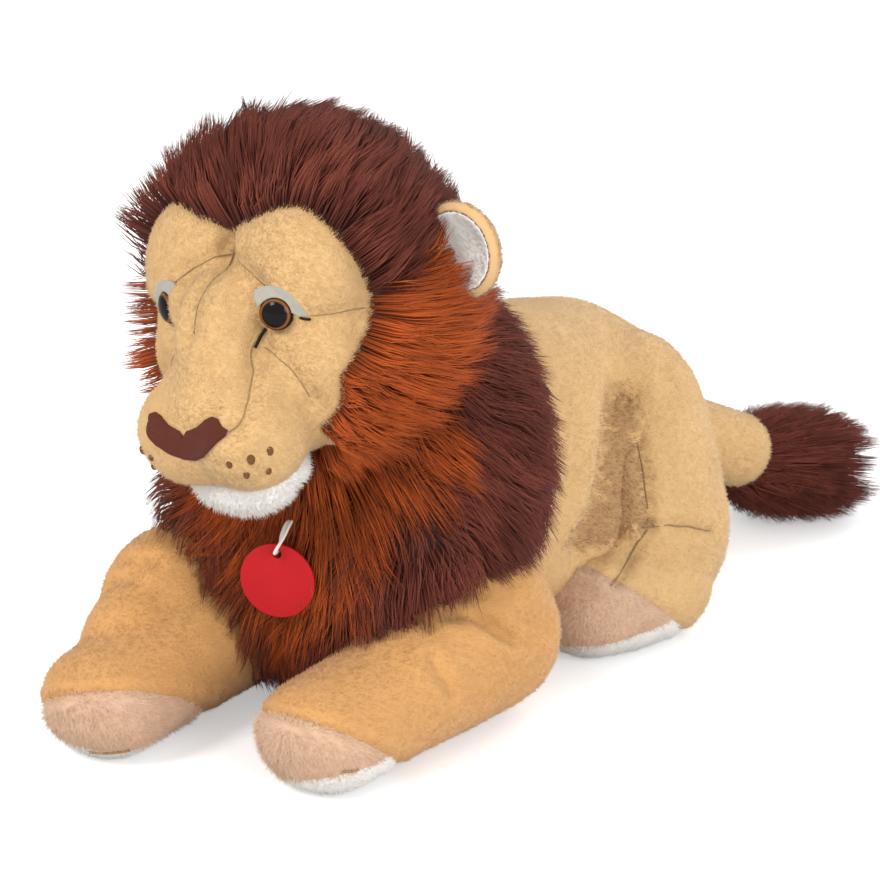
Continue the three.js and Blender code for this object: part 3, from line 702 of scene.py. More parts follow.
def pile(skin, keep, density, length, width, flow, lift, rng, tone=None, mess=0.16):
    """Short plush: straight spikes that lean along the nap. Keep and tone are functions of the roots."""
    roots, normals = skin.roots(density, rng)
    chosen = keep(roots, normals) & ((roots[:, 2] > 1.5) | (normals[:, 2] > -0.5))
    roots, normals = roots[chosen], normals[chosen]
    lean = tangent(flow(roots), normals)
    swirl = np.cross(normals, lean)
    lean = unit(lean + swirl * SWIRL_SHARE * drift(roots, SWIRL_PATCH, rng)[:, None])
    heading = unit(normals * lift + lean * (1 - lift) + rng.normal(scale=mess, size=roots.shape))
    patch = drift(roots, LENGTH_PATCH, rng)
    reach = length * rng.uniform(*PILE_LENGTHS, len(roots)) * (1 + LENGTH_SHARE * patch)
    tones = PILE_TONE + TONE_SHARE * drift(roots, TONE_PATCH, rng) + LENGTH_TONE * patch
    tones = tones + rng.uniform(-PILE_TONE_SPREAD, PILE_TONE_SPREAD, len(roots))
    if tone is not None:
        tones, reach = tone(roots, tones, reach)
    start = roots - normals * PILE_ROOT_DEPTH
    tips = roots + heading * reach[:, None]
    widths = width * rng.uniform(*PILE_WIDTHS, len(roots))
    return Strands(start, (start + tips) / 2, tips, widths, tones, normals)


def reach_out(points, envelope, share):
    """The points moved out to a share of the envelope's size, and the way outward there."""
    nearest = np.full(len(points), np.inf)
    moved, outward = np.empty_like(points), np.empty_like(points)
    for centre, radii in envelope:
        centre, radii = np.array(centre, float), np.array(radii, float)
        size = np.linalg.norm((points - centre) / radii, axis=1)
        better = size < nearest
        nearest[better] = size[better]
        moved[better] = centre + (points - centre)[better] / size[better, None] * share[better, None]
        outward[better] = unit((moved[better] - centre) / radii**2)
    return moved, outward


def gather(bends, tips, roots, clump, pull, rng):
    """Draws the tips of neighbouring strands together in locks, and gives each strand its lock's number."""
    heads = rng.choice(len(roots), max(1, len(roots) // clump), replace=False)
    finder = KDTree(len(heads))
    for place, head in enumerate(heads):
        finder.insert(roots[head], place)
    finder.balance()
    head = heads[np.array([finder.find(root)[1] for root in roots])]
    spread = roots - roots[head]
    amount = pull * rng.uniform(0.4, 1.2, len(roots))[:, None]
    bends += (bends[head] + spread * 0.8 - bends) * amount * 0.4
    tips += (tips[head] + spread * 0.35 - tips) * amount
    return head


def long_pile(roots, normals, envelope, shift, droop, width, clump, pull, rng, depth=0.16):
    """Long fur that rises from its root and then lies back along the outside of the mane."""
    count = len(roots)
    surface, outward = reach_out(roots, envelope, np.ones(count))
    down = np.outer(np.broadcast_to(droop, count), (0, 0, -1))
    lead = tangent(tangent(roots - FACE_CENTRE, outward) + down, outward)
    side = np.cross(outward, lead)
    sway = SWAY_SHARE * drift(roots, SWAY_PATCH, rng) + rng.normal(scale=SWAY_SCATTER, size=count)
    lead = unit(lead + side * sway[:, None])
    along = lead * (shift * rng.uniform(*SHIFT_RANGE, count))[:, None]
    share = 1 - depth * rng.random(count) ** 1.6 + rng.normal(scale=0.014, size=count)
    tips, facing = reach_out(surface + along, envelope, share)
    start = roots - normals * STRAND_ROOT_DEPTH
    bends = start + (surface - start) * 0.72 + along * 0.3
    head = gather(bends, tips, roots, clump, pull, rng)
    widths = width * rng.uniform(*STRAND_WIDTHS, count)
    lock_tone = rng.uniform(0, 1, count)[head]
    tones = lock_tone * LOCK_TONE + rng.uniform(0, 1, count) * STRAND_TONE
    tones = tones + PATCH_TONE * (0.5 + 0.5 * drift(roots, PATCH_TONE_SIZE, rng))
    return Strands(start, bends, tips, widths, tones, facing)


# Materials


class Wire:
    """A shader socket that takes part in sums and products."""

    def __init__(self, graph, socket):
        self.graph = graph
        self.socket = socket

    def math(self, operation, first, second=0.0):
        return self.graph.add("ShaderNodeMath", {"operation": operation}, {0: first, 1: second})

    def __add__(self, other):
        return self.math("ADD", self, other)

    def __mul__(self, other):
        return self.math("MULTIPLY", self, other)


class Graph:
    """The nodes of one material, or of the world, ending in one shader."""

    def __init__(self, name, kind="materials"):
        self.owner = getattr(bpy.data, kind).new(name)
        self.owner.use_nodes = True
        self.tree = self.owner.node_tree
        self.tree.nodes.clear()

    def add(self, kind, settings=(), sockets=(), output=0):
        node = self.tree.nodes.new(kind)
        for name, value in dict(settings).items():
            if name == "stops":
                self.set_stops(node.color_ramp, value)
            else:
                setattr(node, name, value)
        for name, value in dict(sockets).items():
            if isinstance(value, Wire):
                self.tree.links.new(value.socket, node.inputs[name])
            else:
                node.inputs[name].default_value = value
        return Wire(self, node.outputs[output])

    def set_stops(self, ramp, stops):
        while len(ramp.elements) < len(stops):
            ramp.elements.new(1)
        for element, (position, colour) in zip(ramp.elements, stops):
            element.position = position
            element.color = (*colour, 1)

    def noise(self, coordinates, scale, detail=3.0, roughness=0.6):
        sockets = {"Vector": coordinates, "Scale": scale, "Detail": detail, "Roughness": roughness}
        return self.add("ShaderNodeTexNoise", {}, sockets)

    def object_coordinates(self):
        return self.add("ShaderNodeTexCoord", output=3)

    def mix(self, share, first, second):
        def colour(value):
            return value if isinstance(value, Wire) else (*value, 1)

        sockets = {0: share, 6: colour(first), 7: colour(second)}
        return self.add("ShaderNodeMix", {"data_type": "RGBA"}, sockets, 2)

    def finish(self, colour, roughness, height=None, distance=0.001, strength=0.6, **plain):
        base = colour if isinstance(colour, Wire) else (*colour, 1)
        sockets = {"Base Color": base, "Roughness": roughness}
        if height is not None:
            bump = {"Height": height, "Distance": distance, "Strength": strength}
            sockets["Normal"] = self.add("ShaderNodeBump", {}, bump)
        self.add_output(self.add("ShaderNodeBsdfPrincipled", {}, {**sockets, **plain}))
        return self.owner

    def add_output(self, shader, kind="ShaderNodeOutputMaterial"):
        node = self.tree.nodes.new(kind)
        self.tree.links.new(shader.socket, node.inputs["Surface"])


def plush_material(name, light, dark, painted=None):
    """Short plush backing. A painted colour comes in by the share that each point of the piece holds."""
    graph = Graph(name)
    where = graph.object_coordinates()
    patches = graph.noise(where, 55)
    grain = graph.noise(where, 900, 2)
    colour = graph.mix(patches * 0.5 + grain * 0.5, dark, light)
    if painted:
        share = graph.add("ShaderNodeAttribute", {"attribute_name": "painted"}, output=2)
        colour = graph.mix(share, colour, painted)
    plain = {"Sheen Weight": 0.25, "Sheen Roughness": 0.5}
    return graph.finish(colour, 0.9, height=grain, distance=0.0008, strength=0.5, **plain)


def pile_material(name, root, tones, root_reach=0.6, sheen=0.2, gloss=0.4):
    """Fur whose UV holds the strand's tone across and the place along it upward."""
    graph = Graph(name)
    place = graph.add("ShaderNodeUVMap", {"uv_map": "OFBake"})
    across = graph.add("ShaderNodeSeparateXYZ", {}, {0: place}, 0)
    along = graph.add("ShaderNodeSeparateXYZ", {}, {0: place}, 1)
    stops = [(i / (len(tones) - 1), colour) for i, colour in enumerate(tones)]
    tone = graph.add("ShaderNodeValToRGB", {"stops": stops}, {0: across})
    clamped = {"operation": "MULTIPLY", "use_clamp": True}
    risen = graph.add("ShaderNodeMath", clamped, {0: along, 1: 1 / root_reach})
    plain = {"Sheen Weight": sheen, "Sheen Roughness": 0.4, "Specular IOR Level": gloss}
    return graph.finish(graph.mix(risen, root, tone), 0.65, **plain)


def cloth_material(name, light, dark, scale, bump, roughness=0.9, sheen=0.3):
    """Felt, thread and woven cloth: fibres of a scale, with patches 14 times as large."""
    graph = Graph(name)
    where = graph.object_coordinates()
    fibres = graph.noise(where, scale, 6, 0.75)
    patches = graph.noise(where, scale / 14)
    colour = graph.mix(fibres * 0.6 + patches * 0.4, dark, light)
    plain = {"Sheen Weight": sheen, "Sheen Roughness": 0.5, "Specular IOR Level": 0.2}
    return graph.finish(colour, roughness, height=fibres, distance=bump, strength=0.8, **plain)


def gloss_material(name, colour, roughness, grain=2500):
    """Smooth plastic with a fine speckle and slightly worn patches."""
    graph = Graph(name)
    speckle = graph.noise(graph.object_coordinates(), grain, 2)
    worn = graph.noise(graph.object_coordinates(), grain / 40, 3)
    tinted = graph.mix(worn * 0.35, colour, tuple(0.75 * c for c in colour))
    relief = {"height": speckle, "distance": 0.00004, "strength": 0.3}
    return graph.finish(tinted, worn * 0.12 + roughness, **relief, **{"Specular IOR Level": 0.25})


def eye_material(name, rim, iris, glow):
    """A painted iris under a clear dome: pupil, glowing inner ring, amber and a dark rim."""
    graph = Graph(name)
    place = graph.add("ShaderNodeUVMap", {"uv_map": "eye"})
    out = graph.add("ShaderNodeSeparateXYZ", {}, {0: place}, 1)
    stretched = graph.add("ShaderNodeMapping", {}, {0: place, 3: (60, 2, 1)})
    streaks = graph.add("ShaderNodeTexNoise", {}, {"Vector": stretched, "Scale": 1})
    black = (0.006, 0.006, 0.008)
    stops = [(0, black), (0.72, black), (0.75, iris), (0.82, glow), (0.88, iris), (0.93, rim), (1, rim)]
    colour = graph.add("ShaderNodeValToRGB", {"stops": stops}, {0: out})
    shaded = graph.mix(streaks * 0.35, colour, rim)
    plain = {"Coat Weight": 0.22, "Coat Roughness": 0.02, "Specular IOR Level": 0.02}
    return graph.finish(shaded, 0.1, **plain)


MATERIALS = {}


def make_materials(colours):
    tan, paw, white = tuple(colours.tan), tuple(colours.paw), tuple(colours.white)
    dark, rust, felt = tuple(colours.dark), tuple(colours.rust), tuple(colours.felt)
    # The forelegs' plush is a more orange tan, made darker partly as painted shade of the far foreleg, on
    # both forelegs.
    honey = tuple(share * channel for share, channel in zip((0.93, 0.76, 0.58), tan))
    # spot is the brown at the foot of the tan pile's tone ramp: the real brown of the whisker spots, and the
    # painted shade of the flank hollows and seam grooves.
    spot = linear("955a30")

    def make(name, maker, *values):
        MATERIALS[name] = maker(name, *values)

    def shade(colour, factor):
        return tuple(min(1, factor * channel) for channel in colour)

    def shades(colour, *factors):
        return [shade(colour, factor) for factor in factors]

    for name, colour in (("tan", tan), ("honey", honey)):
        # The painted colour of these skins is the mane's dark backing on the head, and painted shade in the
        # flank hollows.
        make(f"{name}_skin", plush_material, colour, shade(colour, 0.72), shade(dark, 0.6))
        make(f"{name}_pile", pile_material, shade(colour, 0.85), [spot, *shades(colour, 0.8, 1, 1.2)])
    make("paw_skin", plush_material, paw, shade(paw, 0.72))
    make("paw_pile", pile_material, shade(paw, 0.85), shades(paw, 0.8, 1, 1.2))
    make("white_skin", plush_material, white, shade(white, 0.82))
    make("white_pile", pile_material, shade(white, 0.92), shades(white, 0.94, 1, 1.06))
    make("dark_skin", plush_material, shade(dark, 0.7), shade(dark, 0.35))
    make("dark_pile", pile_material, shade(dark, 0.6), shades(dark, 0.8, 1.2, 1.8, 2.6), 0.6, 0.03, 0.12)
    make("rust_pile", pile_material, shade(rust, 0.45), shades(rust, 0.6, 0.95, 1.35, 1.9), 0.5, 0.05, 0.15)
    chest = [shade(dark, 1.2), *shades(rust, 0.8, 1.3, 2)]
    make("chest_pile", pile_material, shade(dark, 0.6), chest, 0.8, 0.03, 0.12)
    # The seam threads are a darker copy of the tan: along the seams and the heel crease their darkness is
    # painted shade of the grooves; on the forepaws the same threads are real stitches.
    make("seam", cloth_material, shade(tan, 0.5), shade(tan, 0.3), 1500, 0.0002)
    make("felt", cloth_material, felt, shade(felt, 0.7), 2200, 0.0003)
    for name, light, low, scale, bump, roughness, sheen in (
        ("nose", "683123", "431d14", 1500, 0.0005, 0.9, 0.04),
        ("knot", "7a5230", "5c3a1e", 2500, 0.0003, 0.9, 0.1),
        ("stuffing", "f4f2ec", "d8d4cc", 400, 0.002, 0.9, 0.3),
        ("thread", "2c1712", "120806", 3000, 0.0002, 0.7, 0.0),
        ("cord", "f4efe8", "c9c0b6", 2600, 0.0004, 0.9, 0.3),
    ):
        make(name, cloth_material, linear(light), linear(low), scale, bump, roughness, sheen)
    make("eye_amber", eye_material, linear("1d0e08"), linear("603820"), linear("96602f"))
    make("tag", gloss_material, tuple(colours.tag), 0.55)
    make("washer", gloss_material, linear("e8e4da"), 0.45)


# Builders, one for each group of pieces


class Face:
    """The part of the head's skin that has short plush, found from its edge in the photograph.

    A point's bearing is its way round the face, and its angle is its way from the face's axis to behind.
    """

    def __init__(self, skin):
        bearing, angle, _ = self.measure(np.array(skin.seen(FACE_EDGE)))
        order = np.argsort(bearing)
        self.bearings = np.concatenate(((-90.0, bearing.min() - 14), bearing[order]))
        self.angles = np.concatenate((THROAT_ANGLES, angle[order]))

    def measure(self, points):
        across, up = np.abs(points[:, 0]), points[:, 2] - FACE_CENTRE[2]
        radius = np.hypot(across, up)
        ahead = FACE_AXIS_Y - points[:, 1]
        angle = np.degrees(np.arctan2(radius, ahead))
        return np.degrees(np.arctan2(up, across)), angle, np.hypot(radius, ahead)

    def outside(self, points):
        """How far each point lies outside the edge, in millimetres."""
        bearing, angle, distance = self.measure(points)
        return np.radians(angle - np.interp(bearing, self.bearings, self.angles)) * distance


def under_lid(points):
    """The points of the upright head that an eye or its lid covers."""
    covered = np.zeros(len(points), bool)
    for sign in SIDES.values():
        turn = np.array(eye_turn(sign).inverted())
        local = (points @ turn[:3, :3].T + turn[:3, 3]) / EYE["radius"] * (sign, 1, 1)
        around = np.hypot(local[:, 0], local[:, 1])
        covered |= (np.abs(local[:, 2]) < 2) & ((around < 0.98) | inside_outline(local[:, :2], LID_OUTLINE))
    return covered


def in_front_of_ear(strands):
    """The strands whose outer half would hide the hollow of an ear."""
    hidden = np.zeros(len(strands.roots), bool)
    for sign in SIDES.values():
        middle = np.array(LEAN.inverted() @ ear_place(sign).translation)
        for place in (strands.tips, (strands.tips + strands.bends) / 2):
            offset = place - middle - (sign * 16, 0, 10)
            hidden |= (np.linalg.norm(offset * (1, 0.7, 1), axis=1) < 15) & (offset[:, 1] < 8)
    return hidden


def shape_head():
    """The head's skin with its grooves, and the places of its seams and whisker knots."""
    skin = Skin(HEAD_FORM + SCALP_FORM, voxel=2.6, rounds=9, turn=LEAN)
    x, y, z = EYE["centre"]
    for sign in SIDES.values():
        skin.dent((sign * (x + 1), y - 4, z - 1), depth=4, width=11)
        skin.dent((sign * (x - 16), y - 8, z - 14), depth=2.5, width=10)
    lines = [skin.seen(pixels) for pixels, _ in FACE_SEAMS]
    centre = [(0, y, z) for _, y, z in skin.seen(CENTRE_SEAM)]
    for line, (_, depth) in zip(lines, FACE_SEAMS):
        skin.groove(line, depth, width=5)
        skin.groove(mirrored(line), depth, width=5)
    skin.groove(centre, depth=3.6, width=6)
    seams = lines + [mirrored(line) for line in lines] + [centre]
    spots = [skin.seen([spot[:2]]) for spot in WHISKER_SPOTS]
    knots = [(hit[0], spot[2]) for hit, spot in zip(spots, WHISKER_SPOTS) if hit]
    knots += [((-x, y, z), radius) for (x, y, z), radius in knots]
    return skin, seams, knots


def put_face_pile(skin, face, seams, knots, sizes, rng):
    """The face's pile is shorter along the seams and darker there, as painted shade in their grooves, and
    spotted round the whisker knots.
    """

    def tone(roots, tones, reach):
        for line in seams:
            distance = distance_to_line(roots, line)
            # Painted shade: the tones darken near each seam line.
            tones = tones * (1 - 0.4 * np.exp(-((distance / 3.4) ** 2)))
            reach = reach * (1 - 0.5 * np.exp(-((distance / 1.1) ** 2)))
        for place, radius in knots:
            near = np.linalg.norm(roots - np.array(place), axis=1) < radius + 0.6
            tones = np.where(near, 0.02, tones)
            reach = np.where(near, 0.6, reach)
        return tones, reach

    def flow(roots):
        return roots - NOSE_TIP

    def keep(points, normals):
        return (face.outside(points) < 1.5) & ~under_lid(points)

    length = sizes.face_pile / MM
    strands = pile(
        skin, keep, density=1.5, length=length, width=0.5, flow=flow, lift=0.3, rng=rng, tone=tone
    )
    put_strands("face_pile", strands, "head", "tan_plush", "tan_pile", rng, turn=LEAN)


def put_knots(knots):
    """The whisker spots are knots of thread."""
    for number, (place, radius) in enumerate(knots):
        bm = bmesh.new()
        form = Matrix.LocRotScale(Vector(place), None, Vector((1, 0.9, 1.25)) * radius * 1.1)
        bmesh.ops.create_uvsphere(bm, u_segments=14, v_segments=10, radius=1, matrix=form)
        knot = finished(bm, "knot")
        put(f"whisker_knot_{number}", knot, "head", "nose_fabric", "knot", turn=LEAN)


def put_head_mane(skin, face, sizes, rng):
    """The dark crown and the rust ring round the cheeks, from all of the skin that isn't face or throat."""
    roots, normals = skin.roots(sizes.mane_density * 1.35, rng)
    outside = face.outside(roots)
    off_throat = (np.abs(roots[:, 0]) > THROAT["half_width"]) | (roots[:, 2] > THROAT["top"])
    bearing = (outside > -1) & (roots[:, 2] > HEAD_MANE_LOW) & off_throat
    roots, normals, outside = roots[bearing], normals[bearing], outside[bearing]
    split = CROWN["low"] + rng.normal(scale=CROWN["ragged"], size=len(roots))
    split = split + (roots[:, 1] - CROWN["rise_from"]) * CROWN["rise"]
    behind = roots[:, 1] > CROWN["front"] + rng.normal(scale=CROWN["ragged"], size=len(roots))
    upper = (roots[:, 2] > split) | behind
    shift = 10 + 32 * np.clip((outside - 2) / 44, 0, 1)
    width = sizes.strand_width / MM
    for node, pick, reach, droop, material in (
        ("mane_crown", upper, CROWN_REACH, 0.0, "dark_pile"),
        ("mane_cheeks", ~upper, CHEEK_REACH, 0.25, "rust_pile"),
    ):
        envelope = [(tuple(LEAN.inverted() @ Vector(middle)), radii) for middle, radii in reach]
        rows = roots[pick], normals[pick], envelope, shift[pick], droop
        fur = long_pile(*rows, width=width, clump=26, pull=0.72, rng=rng)
        far = np.clip((-roots[pick, 0] - 42) / 22, 0, 1) * np.clip(1 - outside[pick] / 34, 0, 1)
        fur.tips[:] += far[:, None] * (-8, -12, 0)
        fur.bends[:] += far[:, None] * (-3, -5, 0)
        fur = fur.chosen(~in_front_of_ear(fur))
        put_strands(f"{node}_fur", fur, "head", material, material, rng, [node], LEAN, **LONG_FUR)


def build_head(sizes, rng):
    skin, seams, knots = shape_head()
    face = Face(skin)
    put_face_pile(skin, face, seams, knots, sizes, rng)
    for number, line in enumerate(seams):
        # Thin darker tan tubes along the seams: painted shade of the seam grooves.
        put_thread(f"face_seam_shade_{number}", skin, line, 0.15, 0.4, "head", "tan_plush", "seam")
    put_knots(knots)
    put_head_mane(skin, face, sizes, rng)
    mesh = skin.cut()
    paint(mesh, np.clip(face.outside(skin.points) / 3 + 0.5, 0, 1))
    put("head_skin", mesh, "head", "tan_plush", "tan_skin", ["head_cover"], turn=LEAN)
    put_stuffing("head", skin, "head", "head_filling")
    return skin


def build_chin(rng):
    skin = Skin(CHIN_FORM, voxel=2.0, rounds=4)

    def keep(points, normals):
        return normals[:, 1] < 0.5

    def flow(points):
        return points - np.array((0, -240, 175))

    strands = pile(skin, keep, density=1.0, length=4.6, width=0.6, flow=flow, lift=0.45, rng=rng, mess=0.3)
    put_strands("chin_pile", strands, "head", "white_plush", "white_pile", rng, soft=0.7)
    put("chin_skin", skin.cut(), "head", "white_plush", "white_skin", ["chin_patch"])


def flat_patch(rim):
    """A patch inside a rim of points, divided finely enough to be laid on a curved skin."""
    bm = bmesh.new()
    face = bm.faces.new([bm.verts.new(point) for point in rim])
    bmesh.ops.triangulate(bm, faces=[face])
    for _ in range(3):
        bmesh.ops.subdivide_edges(bm, edges=bm.edges, cuts=1, use_grid_fill=True)
    return bm


def thickened(bm, title):
    """The mesh of a patch with the thickness of felt."""
    bmesh.ops.recalc_face_normals(bm, faces=bm.faces)
    bmesh.ops.solidify(bm, geom=bm.faces[:], thickness=FELT_THICKNESS)
    bmesh.ops.recalc_face_normals(bm, faces=bm.faces)
    return finished(bm, title)


def build_nose(head):
    """The nose patch lies on the muzzle inside its outline. Its half outline is drawn on both sides."""
    half = head.seen(NOSE_HALF)
    half[0], half[-1] = (0, *half[0][1:]), (0, *half[-1][1:])
    bm = flat_patch(half + mirrored(half[-2:0:-1]))
    tree = head.tree()
    for vert in bm.verts:
        place, normal, _, _ = tree.find_nearest(vert.co)
        vert.co = place + normal * (1.0 if vert.is_boundary else 2.3)
    smooth_verts(bm, [vert for vert in bm.verts if not vert.is_boundary])
    nose = thickened(bm, "nose")
    put("nose_skin", nose, "head", "nose_fabric", "nose", ["nose_patch"], turn=LEAN)


def eye_turn(sign):
    """Moves and turns an eye that is made at the origin, looking along +Z, to its place."""
    outward = math.radians(EYE["outward"])
    looks = Vector((sign * math.sin(outward), -math.cos(outward), 0))
    x, y, z = EYE["centre"]
    return Matrix.Translation((sign * x, y, z)) @ looks.to_track_quat("Z", "Y").to_matrix().to_4x4()


def build_eyes():
    """Each eye is turned on a lathe: a dome, a flat back and a shank."""
    radius, dome, shank, length = EYE["radius"], EYE["dome"], EYE["shank"], EYE["length"]
    profile = [(radius * math.sin(a), dome * math.cos(a)) for a in np.linspace(0, math.pi / 2, 14)]
    profile += [(radius, -0.8), (shank + 1, -1.4), (shank, -3), (shank, -length), (0, -length)]
    for side, sign in SIDES.items():
        bm = bmesh.new()
        verts = [bm.verts.new((out, 0, up)) for out, up in profile]
        edges = [bm.edges.new(pair) for pair in zip(verts, verts[1:])]
        whole, lathe = verts + edges, {"axis": (0, 0, 1), "cent": (0, 0, 0), "angle": 2 * math.pi}
        bmesh.ops.spin(bm, geom=whole, steps=48, use_merge=True, **lathe)
        bmesh.ops.remove_doubles(bm, verts=bm.verts, dist=0.001)
        bmesh.ops.recalc_face_normals(bm, faces=bm.faces)
        layer = bm.loops.layers.uv.new("eye")
        for face in bm.faces:
            for loop in face.loops:
                x, y, z = loop.vert.co
                out = math.hypot(x, y) / radius if z > -0.1 else 1
                loop[layer].uv = (math.atan2(y, x) / (2 * math.pi) + 0.5, min(out, 1))
        bmesh.ops.transform(bm, matrix=eye_turn(sign), verts=bm.verts)
        eye = finished(bm, "eye")
        put(f"eye_{side}_dome", eye, "head", "eye_plastic", "eye_amber", [f"eye_{side}"], turn=LEAN)


def build_lids(head):
    """A felt lid is a leaf round the top of the eye, laid on the skin, with a point at the outer corner."""
    radius = EYE["radius"]
    tree = head.tree()
    for side, sign in SIDES.items():
        turn = eye_turn(sign)
        back = turn.inverted()
        way = turn.to_3x3() @ Vector((0, 0, -1))
        bm = flat_patch([(sign * x * radius, y * radius, 0) for x, y in LID_OUTLINE])
        for vert in bm.verts:
            out = vert.co.length / radius
            planned = 2.2 - 2.6 * max(0, out - 0.85)
            hit = tree.ray_cast(turn @ Vector((vert.co.x, vert.co.y, 30)), way, 60)[0]
            above = (back @ hit).z + 0.7 if hit else planned
            vert.co.z = max(planned, above) if out > 1.05 else planned
        for _ in range(2):
            bmesh.ops.smooth_vert(bm, verts=bm.verts, factor=0.5, use_axis_z=True)
        lid = thickened(bm, "lid")
        lid.transform(turn)
        put(f"eyelid_{side}_felt", lid, "head", "felt", "felt", [f"eyelid_{side}"], turn=LEAN)


def build_face_threads(head):
    for title, pixels, radius in (("tear", TEAR_LINE, 0.9), ("lash", LASH_LINE, 0.7)):
        seen = head.seen(pixels)
        for side, line in (("left", seen), ("right", mirrored(seen))):
            put_thread(f"{title}_thread_{side}", head, line, 0.9, radius, "head", "nose_fabric", "thread")


def ear_place(sign):
    """Moves and turns an ear that is made round the origin, facing -Y, to its place."""
    x, y, z = EAR["base"]
    return (
        Matrix.Translation((sign * x, y, z))
        @ Matrix.Rotation(math.radians(sign * EAR["lean"]), 4, "Y")
        @ Matrix.Translation((0, 0, EAR["half"]))
    )


def build_ears(rng):
    """Each ear is a cupped disc: a tan back and rim, with a white lining lying in the cup."""
    half, rim = EAR["half"], EAR["rim_share"]
    parts = (
        ("back", "cover", (half, EAR["depth"], half), "tan", "tan_skin"),
        ("lining", "lining", (half * rim, 2.2, half * rim), "white", "white_pile"),
    )
    for side, sign in SIDES.items():
        place = np.array(ear_place(sign))
        for title, node, radii, colour, backing in parts:
            skin = Skin([((0, 0, 0), radii)], voxel=1.2, rounds=3)
            points = skin.points.copy()
            out = np.hypot(points[:, 0], points[:, 2]) / half
            cup = EAR["hollow"] * np.clip(1 - (out / rim) ** 2, 0, 1)
            if title == "back":
                hollow = (points[:, 1] < 0) & (out < rim)
                points[:, 1] = np.where(hollow, cup - 2.5, points[:, 1])
            else:
                points[:, 1] += cup - 4.2
            skin.write(points)
            skin.smooth(2)
            skin.write(skin.points @ place[:3, :3].T + place[:3, 3])

            def keep(points, normals):
                behind = normals @ place[:3, 1]
                return behind > -0.35 if title == "back" else behind < 0

            upward = nap(*place[:3, 2])
            strands = pile(skin, keep, density=1.3, length=3.0, width=0.5, flow=upward, lift=0.36, rng=rng)
            name, body, slot = f"ear_{side}_{title}", f"ear_{side}", f"{colour}_plush"
            put_strands(f"{name}_pile", strands, body, slot, f"{colour}_pile", rng, soft=0.8)
            put(name, skin.cut(), body, slot, backing, [f"ear_{node}_{side}"])


def in_flank_shade(points):
    """Where shade is painted: the hollow between the belly and each thigh, with a ragged edge."""
    left = points * np.where(points[:, :1] < 0, (-1, 1, 1), 1)
    ragged = np.random.default_rng(RAGGED_ROW).normal(scale=PAINTED_FLANK_SHADE["ragged"], size=(len(points), 2))
    return inside_outline(pixels_of(left) + ragged, SHADED_FLANK) & (left[:, 0] > PAINTED_FLANK_SHADE["inside"])


def paint_flank_shade_on_pile(roots, tones, reach):
    # Painted shade: in the flank hollow the pile's tones drop to a small share, toward the brown at the foot
    # of the tone ramp.
    return np.where(in_flank_shade(roots), tones * PAINTED_FLANK_SHADE["tone"], tones), reach


def paint_flank_shade_on_backing(mesh):
    """The backing in the hollow gets the painted shade too, in the painted colour."""
    points = np.empty(len(mesh.vertices) * 3, np.float32)
    mesh.vertices.foreach_get("co", points)
    paint(mesh, in_flank_shade(points.reshape(-1, 3)) * PAINTED_FLANK_SHADE["paint"])


def build_torso(sizes, rng):
    skin = Skin(between(TORSO_STATIONS, 5) + list(HIP_FORM), voxel=4.0, rounds=8)
    valley = skin.seen(FLANK_VALLEY)
    for line in (valley, mirrored(valley)):
        skin.groove(line, depth=13, width=11, roll=0.1)
    skin.smooth(2)
    skin.lie_flat()

    def keep(points, normals):
        under = (np.abs(points[:, 0]) < BELLY["half_width"]) & (points[:, 2] < BELLY["height"])
        return (points[:, 1] > TORSO_FRONT) & ~under

    strands = pile(
        skin,
        keep,
        density=sizes.plush_density,
        length=sizes.plush_length / MM,
        width=sizes.plush_width / MM,
        flow=nap(0.0, 1.0, -0.35),
        lift=0.3,
        rng=rng,
        tone=paint_flank_shade_on_pile,
        mess=0.12,
    )
    put_strands("torso_pile", strands, "torso", "tan_plush", "tan_pile", rng)
    mesh = skin.cut()
    paint_flank_shade_on_backing(mesh)
    put("torso_skin", mesh, "torso", "tan_plush", "tan_skin", ["torso_cover"])
    put_stuffing("torso", skin, "torso", "torso_filling")


def held_up(fur, rng):
    """The collar's fur, shortened where it would reach the floor or lie over a foreleg."""
    count = len(fur.tips)
    over = np.abs(fur.tips[:, 0]) > OVER_FORELEG["inside"] + rng.normal(scale=3, size=count)
    over &= fur.tips[:, 1] > OVER_FORELEG["front"]
    lowest = np.where(over, OVER_FORELEG["height"] + rng.normal(scale=5, size=count), COLLAR_TIP_LOW)
    drop = fur.roots[:, 2] - fur.tips[:, 2]
    kept = np.clip((fur.roots[:, 2] - lowest) / np.maximum(drop, 1), 0.3, 1)[:, None]
    kept = np.where(drop[:, None] > 1, kept, 1)
    fur.tips[:] = fur.roots + (fur.tips - fur.roots) * kept
    fur.bends[:] = fur.roots + (fur.bends - fur.roots) * kept
    return fur.chosen(fur.tips[:, 2] > COLLAR_TIP_LOW - 1)


